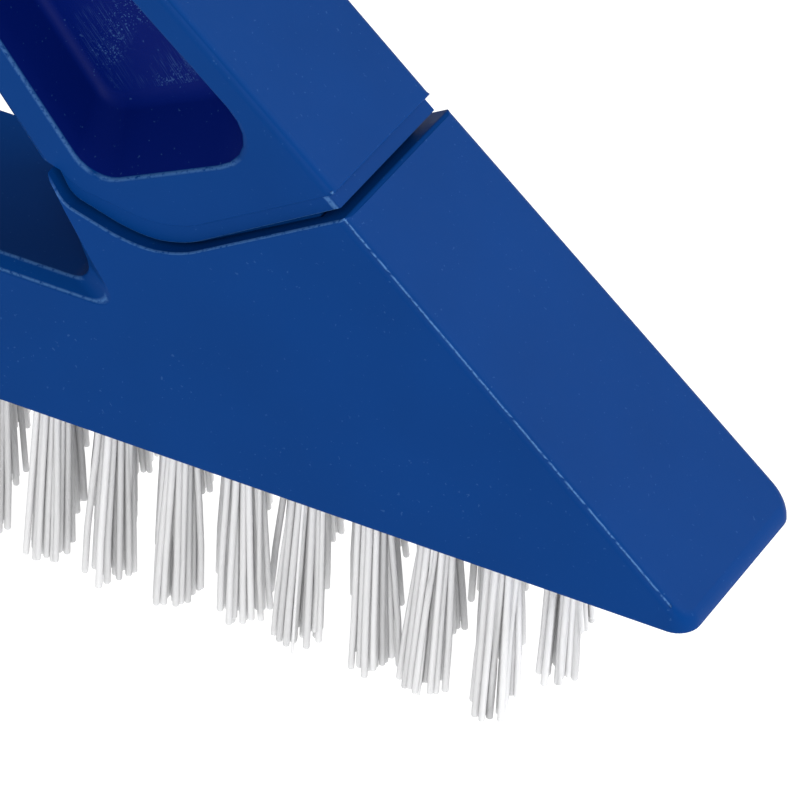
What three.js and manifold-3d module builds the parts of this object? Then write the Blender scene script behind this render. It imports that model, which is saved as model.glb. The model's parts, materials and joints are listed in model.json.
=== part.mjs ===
// Pool wall brush: a straight wedge-ended brush base with three staggered rows of tufts, an A-shaped
// upper frame whose two arms drop into the base's horns, and a pole stem with a two-button spring clip.
// Millimetres, +Z up. X runs along the brush, the front faces -Y, and the tufts stand on z = 0.

import * as THREE from 'three';
import { mergeVertices } from 'three/addons/utils/BufferGeometryUtils.js';
import Module from 'manifold-3d';

const wasm = await Module();
wasm.setup();

// ---- Driving dimensions ----

// Brush base
const LENGTH = 250;
const BASE_DEPTH = 26;
const DRAFT = THREE.MathUtils.degToRad(1.2);
const SLOPE = THREE.MathUtils.degToRad(40.6);
const NOSE_HEIGHT = 1.5;
const LEDGE_HEIGHT = 18.5;
const LEDGE_END = 51.1;
const WALL = 3.2;
const CLEARANCE = 0.3;

// Horn seat: the shallow hollow at the top of each horn, from the outer slope to the window
const SEAT_OUTER_X = 81.7;
const SEAT_LOW = [61.2, 26.5];
const SEAT_FLAT = [55.5, 26.35];
const SEAT_TURN = [47.7, 28.55];
const SEAT_INNER = [45.6, 31.8];

// Tufts
const BRISTLE_LENGTH = 22;
const TUFT_PITCH = 8;
const ROW_SPACING = 7.4;
const OUTER_ROW_TUFTS = 26;
const MIDDLE_ROW_TUFTS = 27;
const TUFT_ROOT_RADIUS = 2.1;
const TUFT_TIP_RADIUS = 2.8;
const TUFT_SIDES = 6;
const TUFT_HOLE_RADIUS = 2.7;
const TUFT_HOLE_DEPTH = 6.5;
const ROOT_STRIP_HEIGHT = 1;

// Bristle plate, set into the underside of the base
const PLATE_INSET = 0.8;
const PLATE_TOP = 12.8;
const PLATE_LENGTH = 218.4;
const PLATE_DEPTH = 20.4;

// Upper frame
const ARM_THICKNESS = 22.4;
const ARM_PROUD = 0.3;
const ARM_INNER_FOOT = [44.2, 32.6];
const COLLAR_THICKNESS = 21.8;
const COLLAR_SINK = 0.75;
const COLLAR_GAP = 0.35;
const ARM_INNER_SLOPE = THREE.MathUtils.degToRad(51);
const POCKET_DEPTH = 7.5;
const TONGUE_THICKNESS = 19.6;
const TONGUE_BOTTOM = 20.5;

// Hub and pole stem, heights from the foot of the base
const HUB_RADIUS = 20;
const HUB_BOTTOM = 62;
const HUB_TOP = 102;
const SOCKET_FLOOR = 70;
const STEM_RADIUS = 14.25;
const STEM_WALL = 2.7;
const STEM_TOP = 168;

// Cross bolt
const BOLT_HEIGHT = 84;
const BOLT_RADIUS = 2.5;
const BOLT_REACH = 26;
const BOSS_RADIUS = 7;
const BOSS_REACH = 20.5;
const WASHER_RADIUS = 5.5;
const WASHER_THICKNESS = 1;
const NUT_THICKNESS = 3.6;
const HEAD_RADIUS = 4.6;

// Screws
const SCREW_RADIUS = 1.75;
const SCREW_HEAD_RADIUS = 3.3;
const SCREW_HEAD_HEIGHT = 2.1;
const PLATE_SCREW_X = [-28, -12, 12, 28];
const PLATE_SCREW_SEAT = 17.3;
const PLATE_SCREW_END = 8.3;
const FRAME_SCREW_X = 64;
const FRAME_SCREW_END = 33;

// Spring clip
const CLIP_WIDTH = 9;
const CLIP_THICKNESS = 1;
const BOW_RADIUS = 1.9;
const LEG_TOP_X = 9.5;
const LEG_BEND = 130;
const LEG_TOP = 143;
const BUTTON_HEIGHT = 137.6;
const BUTTON_RADIUS = 3.1;
const BUTTON_PROUD = 4.5;
const BUTTON_HOLE_HEIGHT = 138.2;
const BUTTON_HOLE_RADIUS = 4;

// ---- Finishes ----

const BLUE = { color: 0x144184, roughness: 0.42, metalness: 0 };
const BRISTLE_WHITE = { color: 0xe2e2e2, roughness: 0.45, metalness: 0 };
const STEEL = { color: 0xb9bcc0, roughness: 0.32, metalness: 0.95 };
const ALUMINIUM = { color: 0xc6c9cc, roughness: 0.4, metalness: 0.9 };
const CLIP_GREY = { color: 0xd8d9da, roughness: 0.5, metalness: 0 };

// ---- Solids ----

const half = LENGTH / 2;
const slopeRise = Math.tan(SLOPE);

// Height of the outer slope at a distance x from the middle, lowered by a wall of the given thickness.
function slopeHeight(x, wall = 0) {
  return NOSE_HEIGHT + (half - x) * slopeRise - wall / Math.cos(SLOPE);
}

function toSolid(geometry) {
  const bare = geometry.clone();
  bare.deleteAttribute('normal');
  bare.deleteAttribute('uv');
  const merged = mergeVertices(bare, 1e-4);
  return new wasm.Manifold(new wasm.Mesh({
    numProp: 3,
    vertProperties: new Float32Array(merged.attributes.position.array),
    triVerts: new Uint32Array(merged.index.array),
  }));
}

function toGeometry(solid) {
  const mesh = solid.getMesh();
  const geometry = new THREE.BufferGeometry();
  geometry.setAttribute('position', new THREE.BufferAttribute(mesh.vertProperties, 3));
  geometry.setIndex(new THREE.BufferAttribute(mesh.triVerts, 1));
  return geometry;
}

function unite(solids) {
  return solids.reduce((whole, piece) => whole.add(piece));
}

function cutAll(body, tools) {
  return tools.reduce((rest, tool) => rest.subtract(tool), body);
}

// A closed outline from [x, z, corner radius] points; a point without a radius stays sharp.
function outline(points) {
  const shape = new THREE.Shape();
  const at = (i) => new THREE.Vector2(...points[(i + points.length) % points.length].slice(0, 2));
  points.forEach(([x, z, radius = 0], i) => {
    const corner = new THREE.Vector2(x, z);
    const before = at(i - 1).sub(corner).setLength(radius).add(corner);
    const after = at(i + 1).sub(corner).setLength(radius).add(corner);
    if (i === 0) {
      shape.moveTo(before.x, before.y);
    } else {
      shape.lineTo(before.x, before.y);
    }
    if (radius > 0) {
      shape.quadraticCurveTo(corner.x, corner.y, after.x, after.y);
    }
  });
  shape.closePath();
  return shape;
}

// The right half's points, followed by their mirror images in reverse.
function mirrored(points) {
  const left = points.map(([x, z, radius = 0]) => [-x, z, radius]).reverse();
  return [...points, ...left];
}

function flipped(points) {
  return points.map(([x, z, radius = 0]) => [-x, z, radius]).reverse();
}

// An outline in the XZ plane, drawn out along Y between two depths.
function slab(points, fromY, toY) {
  const geometry = new THREE.ExtrudeGeometry(outline(points), {
    depth: toY - fromY,
    bevelEnabled: false,
    curveSegments: 4,
  });
  geometry.rotateX(Math.PI / 2);
  geometry.translate(0, toY, 0);
  return toSolid(geometry);
}

function centredSlab(points, thickness) {
  return slab(points, -thickness / 2, thickness / 2);
}

function uprightRod(radius, fromZ, toZ, x = 0, y = 0, sides = 16) {
  const geometry = new THREE.CylinderGeometry(radius, radius, toZ - fromZ, sides);
  geometry.rotateX(Math.PI / 2);
  geometry.translate(x, y, (fromZ + toZ) / 2);
  return toSolid(geometry);
}

function crossRod(radius, fromY, toY, z, sides = 16) {
  const geometry = new THREE.CylinderGeometry(radius, radius, toY - fromY, sides);
  geometry.translate(0, (fromY + toY) / 2, z);
  return toSolid(geometry);
}

function sideRod(radius, fromX, toX, z, sides = 16) {
  const geometry = new THREE.CylinderGeometry(radius, radius, toX - fromX, sides);
  geometry.rotateZ(Math.PI / 2);
  geometry.translate((fromX + toX) / 2, 0, z);
  return toSolid(geometry);
}

// A turned solid from [radius, height] points that start and end on the Z axis.
function turned(points, sides = 32) {
  const profile = points.map(([radius, height]) => new THREE.Vector2(radius, height));
  const geometry = new THREE.LatheGeometry(profile, sides);
  geometry.rotateX(Math.PI / 2);
  return toSolid(geometry);
}

// ---- Brush base ----

// The horn's seat and inner flank down to the ledge, right side.
const seatPoints = [
  [SEAT_OUTER_X, slopeHeight(SEAT_OUTER_X)],
  [...SEAT_LOW, 3],
  [...SEAT_FLAT, 2.5],
  [...SEAT_TURN, 1.2],
  SEAT_INNER,
  [LEDGE_END, LEDGE_HEIGHT, 2.5],
];

// The tongue below each arm, right side: it narrows downwards, so that it drops straight in.
const tonguePoints = [
  [53, 36],
  [48.6, 32.4],
  [55.9, TONGUE_BOTTOM],
  [72, TONGUE_BOTTOM],
  [77.6, 31],
  [77.6, 39],
  [70, 42],
];

// The tongue's seat in the horn: the tongue's outline with a clearance all round, open at the top.
const socketPoints = [
  [48.2, 50],
  [48.2, 32.2],
  [55.7, TONGUE_BOTTOM - CLEARANCE],
  [72.2, TONGUE_BOTTOM - CLEARANCE],
  [78, 30.9],
  [78, 50],
];

function baseSolid() {
  const body = centredSlab(mirrored([
    [half, 0],
    [half, NOSE_HEIGHT],
    ...seatPoints,
  ].reverse()), BASE_DEPTH);
  const drafted = body.warp((point) => {
    point[1] *= 1 - (2 * point[2] * Math.tan(DRAFT)) / BASE_DEPTH;
  });
  const coreTopX = 84.5;
  const coreInnerX = 81.5;
  const ceiling = LEDGE_HEIGHT - WALL;
  const plateEnd = PLATE_LENGTH / 2 + CLEARANCE;
  const underside = centredSlab(mirrored([
    [coreInnerX, ceiling],
    [coreInnerX, slopeHeight(coreTopX, WALL)],
    [coreTopX, slopeHeight(coreTopX, WALL)],
    [plateEnd, slopeHeight(plateEnd, WALL)],
    [plateEnd, -1],
  ]), PLATE_DEPTH + 2 * CLEARANCE);
  const sockets = [socketPoints, flipped(socketPoints)]
    .map((points) => centredSlab(points, TONGUE_THICKNESS + 2 * CLEARANCE));
  const screwHoles = PLATE_SCREW_X.flatMap((x) => [
    uprightRod(SCREW_RADIUS + CLEARANCE, ceiling - 1, LEDGE_HEIGHT, x),
    uprightRod(SCREW_HEAD_RADIUS + CLEARANCE, PLATE_SCREW_SEAT, LEDGE_HEIGHT + 1, x),
  ]);
  const frameHoles = [-FRAME_SCREW_X, FRAME_SCREW_X]
    .map((x) => uprightRod(SCREW_RADIUS + CLEARANCE, ceiling - 1, TONGUE_BOTTOM, x));
  return cutAll(drafted, [underside, ...sockets, ...screwHoles, ...frameHoles]);
}

// ---- Tufts and their plate ----

function rowPlaces(count) {
  return Array.from({ length: count }, (_, i) => (i - (count - 1) / 2) * TUFT_PITCH);
}

const rows = [
  { name: 'front', y: -ROW_SPACING, places: rowPlaces(OUTER_ROW_TUFTS) },
  { name: 'middle', y: 0, places: rowPlaces(MIDDLE_ROW_TUFTS) },
  { name: 'rear', y: ROW_SPACING, places: rowPlaces(OUTER_ROW_TUFTS) },
];

const holeTop = PLATE_INSET + TUFT_HOLE_DEPTH;

// A bar along one row, over all its tufts.
function rowBar(row, halfWidth, fromZ, toZ) {
  const end = row.places[row.places.length - 1] + halfWidth;
  const bar = new THREE.BoxGeometry(2 * end, 2 * halfWidth, toZ - fromZ);
  bar.translate(0, row.y, (fromZ + toZ) / 2);
  return toSolid(bar);
}

// One row: each tuft spreads a little towards its tip, and a thin root strip joins the row's roots.
function bristleRowSolid(row) {
  const stripTop = holeTop - CLEARANCE;
  const rootZ = stripTop - ROOT_STRIP_HEIGHT / 2;
  const tufts = row.places.map((x) => {
    const tuft = new THREE.CylinderGeometry(
      TUFT_ROOT_RADIUS, TUFT_TIP_RADIUS, rootZ + BRISTLE_LENGTH, TUFT_SIDES);
    tuft.rotateX(Math.PI / 2);
    tuft.translate(x, row.y, (rootZ - BRISTLE_LENGTH) / 2);
    return toSolid(tuft);
  });
  const strip = rowBar(row, TUFT_ROOT_RADIUS + 0.1, stripTop - ROOT_STRIP_HEIGHT, stripTop);
  return unite([strip, ...tufts]);
}

function bristlePlateSolid() {
  const end = PLATE_LENGTH / 2;
  const shoulder = slopeHeight(end, WALL) - CLEARANCE;
  const run = (PLATE_TOP - shoulder) / slopeRise;
  const block = centredSlab(mirrored([
    [end - run, PLATE_TOP],
    [end, shoulder],
    [end, PLATE_INSET],
  ].reverse()), PLATE_DEPTH);
  const slotFoot = holeTop - ROOT_STRIP_HEIGHT - 2 * CLEARANCE;
  const slotMiddle = (slotFoot + holeTop) / 2;
  const tuftHoles = rows.flatMap((row) => row.places.map((x) => uprightRod(
    TUFT_HOLE_RADIUS, PLATE_INSET - 1, slotMiddle, x, row.y, TUFT_SIDES)));
  const rootSlots = rows.map((row) => rowBar(row, TUFT_HOLE_RADIUS + 0.1, slotFoot, holeTop));
  const pilots = PLATE_SCREW_X.map((x) => uprightRod(
    SCREW_RADIUS + CLEARANCE, PLATE_SCREW_END - CLEARANCE, PLATE_TOP + 1, x));
  return cutAll(block, [...tuftHoles, ...rootSlots, ...pilots]);
}

// ---- Upper frame ----

// The arm's outer face stands a little proud of the horn's slope.
function armOuterHeight(x) {
  return slopeHeight(x, -ARM_PROUD);
}

const armFoot = [
  [79.9, armOuterHeight(79.9), 0.8],
  [60.3, 28.7, 4],
  [48.6, 30.3, 1.5],
  [46.6, 31.8],
  ARM_INNER_FOOT,
];

// The stepped-in collar under each arm's foot, which stops just above the horn's seat, right side.
const collarPoints = [
  [50, 38],
  [SEAT_INNER[0] + 0.3, SEAT_INNER[1] + 0.7],
  [SEAT_TURN[0] + 0.2, SEAT_TURN[1] + COLLAR_GAP + 0.05, 1.2],
  [SEAT_FLAT[0], SEAT_FLAT[1] + COLLAR_GAP, 2.5],
  [SEAT_LOW[0] - 0.1, SEAT_LOW[1] + COLLAR_GAP, 3],
  [80.4, slopeHeight(80.4, COLLAR_SINK)],
  [76, slopeHeight(76, COLLAR_SINK)],
];

// Height of the arm's inner edge at a distance x from the middle.
function armInnerHeight(x) {
  const [footX, footZ] = ARM_INNER_FOOT;
  return footZ + (footX - x) * Math.tan(ARM_INNER_SLOPE);
}

const pocketPoints = [
  [72.3, 42.3, 7.5],
  [50.5, 31.7, 3],
  [27, 60.5, 3.5],
  [27, 79.5, 3.5],
].reverse();

function handleFrameSolid() {
  const hubInside = 18;
  const crownX = 12;
  const arms = centredSlab(mirrored([
    [crownX, armOuterHeight(crownX)],
    ...armFoot,
    [hubInside, armInnerHeight(hubInside), 4],
    [crownX, armInnerHeight(hubInside) + 2],
  ].reverse()), ARM_THICKNESS);
  const collars = [collarPoints, flipped(collarPoints)]
    .map((points) => centredSlab(points, COLLAR_THICKNESS));
  const tongues = [tonguePoints, flipped(tonguePoints)]
    .map((points) => centredSlab(points, TONGUE_THICKNESS));
  const hub = turned([
    [0, HUB_BOTTOM],
    [HUB_RADIUS - 6, HUB_BOTTOM],
    [HUB_RADIUS - 1.5, HUB_BOTTOM + 2.5],
    [HUB_RADIUS, HUB_BOTTOM + 7],
    [HUB_RADIUS, HUB_TOP - 1.5],
    [HUB_RADIUS - 1.5, HUB_TOP],
    [0, HUB_TOP],
  ]);
  const boss = crossRod(BOSS_RADIUS, -BOSS_REACH, BOSS_REACH, BOLT_HEIGHT, 24);
  const front = -ARM_THICKNESS / 2;
  const pockets = [pocketPoints, flipped(pocketPoints)].flatMap((points) => [
    slab(points, front - 1, front + POCKET_DEPTH),
    slab(points, -front - POCKET_DEPTH, -front + 1),
  ]);
  const socket = uprightRod(STEM_RADIUS + CLEARANCE, SOCKET_FLOOR, HUB_TOP + 1, 0, 0, 32);
  const boltHole = crossRod(BOLT_RADIUS + CLEARANCE, -BOLT_REACH, BOLT_REACH, BOLT_HEIGHT);
  const pilots = [-FRAME_SCREW_X, FRAME_SCREW_X].map((x) => uprightRod(
    SCREW_RADIUS + CLEARANCE, TONGUE_BOTTOM - 1, FRAME_SCREW_END + CLEARANCE, x));
  return cutAll(unite([arms, ...collars, ...tongues, hub, boss]), [...pockets, socket, boltHole, ...pilots]);
}

// ---- Stem and cross bolt ----

function poleStemSolid() {
  const bore = STEM_RADIUS - STEM_WALL;
  const foot = SOCKET_FLOOR + CLEARANCE;
  const tube = turned([
    [0, foot],
    [STEM_RADIUS, foot],
    [STEM_RADIUS, STEM_TOP - 1],
    [STEM_RADIUS - 1, STEM_TOP],
    [0, STEM_TOP],
  ]);
  return cutAll(tube, [
    uprightRod(bore, foot - 1, STEM_TOP + 1, 0, 0, 32),
    crossRod(BOLT_RADIUS + CLEARANCE, -BOLT_REACH, BOLT_REACH, BOLT_HEIGHT),
    sideRod(BUTTON_HOLE_RADIUS, -BOLT_REACH, BOLT_REACH, BUTTON_HOLE_HEIGHT, 20),
  ]);
}

const washerOuter = BOSS_REACH + WASHER_THICKNESS;

function stemBoltSolid() {
  const shank = crossRod(BOLT_RADIUS, -washerOuter, BOLT_REACH, BOLT_HEIGHT);
  const head = crossRod(HEAD_RADIUS, -BOLT_REACH, -washerOuter, BOLT_HEIGHT, 6);
  return shank.add(head);
}

function stemNutSolid() {
  const outer = crossRod(HEAD_RADIUS, washerOuter, washerOuter + NUT_THICKNESS, BOLT_HEIGHT, 6);
  return outer.subtract(crossRod(BOLT_RADIUS + CLEARANCE / 2, 0, BOLT_REACH + 1, BOLT_HEIGHT));
}

function washerSolid(side) {
  const [near, far] = side < 0 ? [-washerOuter, -BOSS_REACH] : [BOSS_REACH, washerOuter];
  const disc = crossRod(WASHER_RADIUS, near, far, BOLT_HEIGHT, 20);
  return disc.subtract(crossRod(BOLT_RADIUS + CLEARANCE / 2, near - 1, far + 1, BOLT_HEIGHT));
}

// ---- Screws ----

// A pan-head screw on the Z axis; direction is +1 when the head is on top of the shank.
function screwSolid(x, seatZ, endZ, direction) {
  const headEnd = seatZ + direction * SCREW_HEAD_HEIGHT;
  const head = uprightRod(SCREW_HEAD_RADIUS, Math.min(seatZ, headEnd), Math.max(seatZ, headEnd), x);
  const shank = uprightRod(SCREW_RADIUS, Math.min(seatZ, endZ), Math.max(seatZ, endZ), x, 0, 12);
  const driveFloor = headEnd - direction * 1.2;
  const drive = [[3.6, 0.9], [0.9, 3.6]].map(([sizeX, sizeY]) => {
    const slot = new THREE.BoxGeometry(sizeX, sizeY, 2.4);
    slot.translate(x, 0, driveFloor + direction * 1.2);
    return toSolid(slot);
  });
  return cutAll(head.add(shank), drive);
}

// ---- Spring clip ----

const bowHeight = BOLT_HEIGHT + BOLT_RADIUS + CLEARANCE + BOW_RADIUS + CLIP_THICKNESS / 2;
const legFoot = bowHeight + 0.5;

function clipBowSolid() {
  const outer = crossRod(BOW_RADIUS + CLIP_THICKNESS / 2, -CLIP_WIDTH / 2, CLIP_WIDTH / 2, bowHeight, 24);
  const inner = crossRod(BOW_RADIUS - CLIP_THICKNESS / 2, -CLIP_WIDTH, CLIP_WIDTH, bowHeight, 24);
  const above = new THREE.BoxGeometry(4 * BOW_RADIUS, 2 * CLIP_WIDTH, 2 * BOW_RADIUS + 2);
  above.translate(0, 0, bowHeight + BOW_RADIUS + 1);
  return cutAll(outer, [inner, toSolid(above)]);
}

// A leg leans out from the bow and then stands upright behind the stem's wall.
function clipLegSolid(side) {
  const t = CLIP_THICKNESS / 2;
  const points = [
    [BOW_RADIUS - t, legFoot],
    [BOW_RADIUS + t, legFoot],
    [LEG_TOP_X + t, LEG_BEND],
    [LEG_TOP_X + t, LEG_TOP],
    [LEG_TOP_X - t, LEG_TOP],
    [LEG_TOP_X - t, LEG_BEND],
  ];
  return centredSlab(side > 0 ? points : flipped(points), CLIP_WIDTH);
}

// A domed button that stands out through the stem's wall.
function clipButtonSolid(side) {
  const foot = LEG_TOP_X + CLIP_THICKNESS / 2 + 0.05;
  const tip = STEM_RADIUS + BUTTON_PROUD - foot;
  const button = new THREE.LatheGeometry([
    [0, 0],
    [BUTTON_RADIUS, 0],
    [BUTTON_RADIUS, tip - 1.8],
    [BUTTON_RADIUS - 0.9, tip - 0.5],
    [0, tip],
  ].map(([radius, reach]) => new THREE.Vector2(radius, reach)), 20);
  button.rotateZ(-side * Math.PI / 2);
  button.translate(side * foot, 0, BUTTON_HEIGHT);
  return toSolid(button);
}

// ---- Assembly ----

const brush = new THREE.Group();
const upper = new THREE.Group();
upper.position.z = BRISTLE_LENGTH;
brush.add(upper);

function addPart(name, solid, finish) {
  const mesh = new THREE.Mesh(toGeometry(solid), new THREE.MeshStandardMaterial(finish));
  mesh.name = name;
  upper.add(mesh);
}

addPart('brush_base', baseSolid(), BLUE);
addPart('bristle_plate', bristlePlateSolid(), BLUE);
for (const row of rows) {
  addPart(`bristle_row_${row.name}`, bristleRowSolid(row), BRISTLE_WHITE);
}
PLATE_SCREW_X.forEach((x, i) => {
  addPart(`plate_screw_${i + 1}`, screwSolid(x, PLATE_SCREW_SEAT, PLATE_SCREW_END, 1), STEEL);
});
addPart('handle_frame', handleFrameSolid(), BLUE);
const frameScrewSeat = LEDGE_HEIGHT - WALL;
addPart('frame_screw_left', screwSolid(-FRAME_SCREW_X, frameScrewSeat, FRAME_SCREW_END, -1), STEEL);
addPart('frame_screw_right', screwSolid(FRAME_SCREW_X, frameScrewSeat, FRAME_SCREW_END, -1), STEEL);
addPart('pole_stem', poleStemSolid(), ALUMINIUM);
addPart('stem_bolt', stemBoltSolid(), STEEL);
addPart('stem_nut', stemNutSolid(), STEEL);
addPart('stem_washer_front', washerSolid(-1), STEEL);
addPart('stem_washer_rear', washerSolid(1), STEEL);
addPart('clip_bow', clipBowSolid(), CLIP_GREY);
addPart('clip_leg_left', clipLegSolid(-1), CLIP_GREY);
addPart('clip_leg_right', clipLegSolid(1), CLIP_GREY);
addPart('clip_button_left', clipButtonSolid(-1), CLIP_GREY);
addPart('clip_button_right', clipButtonSolid(1), CLIP_GREY);

export default brush;
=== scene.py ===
"""Pool wall brush: moulded base and frame, three rows of tufts, pole stem, spring clip and fasteners.

Sizes are in millimetres and heights are measured from the foot of the moulded base; Workpiece turns them
into metres in the frame. Classes come in this order: modelling bench, finishes, sub-assemblies, studio.
"""
import json
import logging
import math
import random
from collections.abc import Callable, Iterable
from dataclasses import dataclass, field
from enum import Enum

import bmesh
import bpy
from mathutils import Matrix, Vector

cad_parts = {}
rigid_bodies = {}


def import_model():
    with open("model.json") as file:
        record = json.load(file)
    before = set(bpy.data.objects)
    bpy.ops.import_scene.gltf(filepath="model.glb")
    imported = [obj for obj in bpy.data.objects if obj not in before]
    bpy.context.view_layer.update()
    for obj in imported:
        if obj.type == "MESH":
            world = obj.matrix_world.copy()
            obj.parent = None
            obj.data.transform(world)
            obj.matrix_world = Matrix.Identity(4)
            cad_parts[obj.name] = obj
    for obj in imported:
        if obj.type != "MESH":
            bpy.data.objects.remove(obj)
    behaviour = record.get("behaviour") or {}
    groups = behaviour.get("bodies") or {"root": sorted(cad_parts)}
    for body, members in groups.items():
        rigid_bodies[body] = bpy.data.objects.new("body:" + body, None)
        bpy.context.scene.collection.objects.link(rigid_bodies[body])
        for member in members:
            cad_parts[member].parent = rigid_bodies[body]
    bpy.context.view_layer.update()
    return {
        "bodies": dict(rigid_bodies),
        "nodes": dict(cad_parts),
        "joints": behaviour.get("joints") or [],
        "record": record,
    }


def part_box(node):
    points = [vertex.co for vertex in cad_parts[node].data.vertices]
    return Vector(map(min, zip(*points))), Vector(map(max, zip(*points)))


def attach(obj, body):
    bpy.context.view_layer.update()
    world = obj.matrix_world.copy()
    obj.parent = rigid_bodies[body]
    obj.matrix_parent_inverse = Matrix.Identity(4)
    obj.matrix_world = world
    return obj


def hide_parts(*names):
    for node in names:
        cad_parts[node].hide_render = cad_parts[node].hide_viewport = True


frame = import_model()

log = logging.getLogger("pool_brush")

MM = 0.001
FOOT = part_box("brush_base")[0].z / MM
NEAR = 0.02
Point = tuple[float, float, float]


class Side(Enum):
    """Left or right half of the brush, as the sign of X."""

    LEFT = -1
    RIGHT = 1


class Part(Enum):
    """What a selection picks, by its edit-mode name."""

    POINTS = "VERT"
    EDGES = "EDGE"
    FACES = "FACE"


class Join(Enum):
    """How two solids are combined."""

    ADD = "UNION"
    CUT = "DIFFERENCE"


@dataclass(frozen=True)
class Corner:
    """A corner of an outline in the XZ plane, rounded from `reach` before it to `reach` past it."""

    x: float
    z: float
    reach: float = 0.0

    def flipped(self) -> "Corner":
        """The same corner on the brush's other half."""
        return Corner(-self.x, self.z, self.reach)


def place(x: float, y: float, z: float) -> Vector:
    """A point in the frame, in metres, from millimetres and a height above the base's foot."""
    return Vector((x, y, z + FOOT)) * MM


def reading(point: Vector) -> Vector:
    """A frame point as millimetres, with its height above the base's foot."""
    return point / MM - Vector((0, 0, FOOT))


def outline(corners: Iterable[Corner], steps: int = 6) -> list[Vector]:
    """The points of an outline in the XZ plane once its corners are rounded.

    Args:
        corners: the outline, in order.
        steps: steps round each rounded corner.

    Returns:
        The points, in order.
    """
    spots = [Vector((c.x, c.z)) for c in corners]
    points = []
    for i, corner in enumerate(corners):
        before = (spots[i - 1] - spots[i]).normalized() * corner.reach
        after = (spots[(i + 1) % len(spots)] - spots[i]).normalized() * corner.reach
        for k in range(steps + 1 if corner.reach else 1):
            turn = math.pi / 2 * k / steps
            points.append(spots[i] + before * (1 - math.sin(turn)) + after * (1 - math.cos(turn)))
    return points


def grown(corners: Iterable[Corner], by: float) -> list[Corner]:
    """An outline whose sides are moved out.

    Args:
        corners: the outline, in order.
        by: how far its sides are moved.

    Returns:
        The larger outline.
    """
    corners = list(corners)
    spots = [Vector((c.x, c.z)) for c in corners]
    middle = sum(spots, Vector((0, 0))) / len(spots)
    result = []
    for i, corner in enumerate(corners):
        sides = []
        for far in (spots[i - 1], spots[(i + 1) % len(spots)]):
            across = (far - spots[i]).normalized().orthogonal()
            sides.append(across if (middle - spots[i]).dot(across) < 0 else -across)
        first, second = sides
        move = (first + second) * by / (1 + first.dot(second))
        result.append(Corner(corner.x + move.x, corner.z + move.y, corner.reach))
    return result


def blended(first: Iterable[Corner], second: Iterable[Corner], share: float) -> list[Corner]:
    """An outline between two outlines with as many corners, at that share of the way to the second."""
    return [Corner(*(start + (end - start) * share for start, end in
                     ((a.x, b.x), (a.z, b.z), (a.reach, b.reach)))) for a, b in zip(first, second)]


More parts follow.
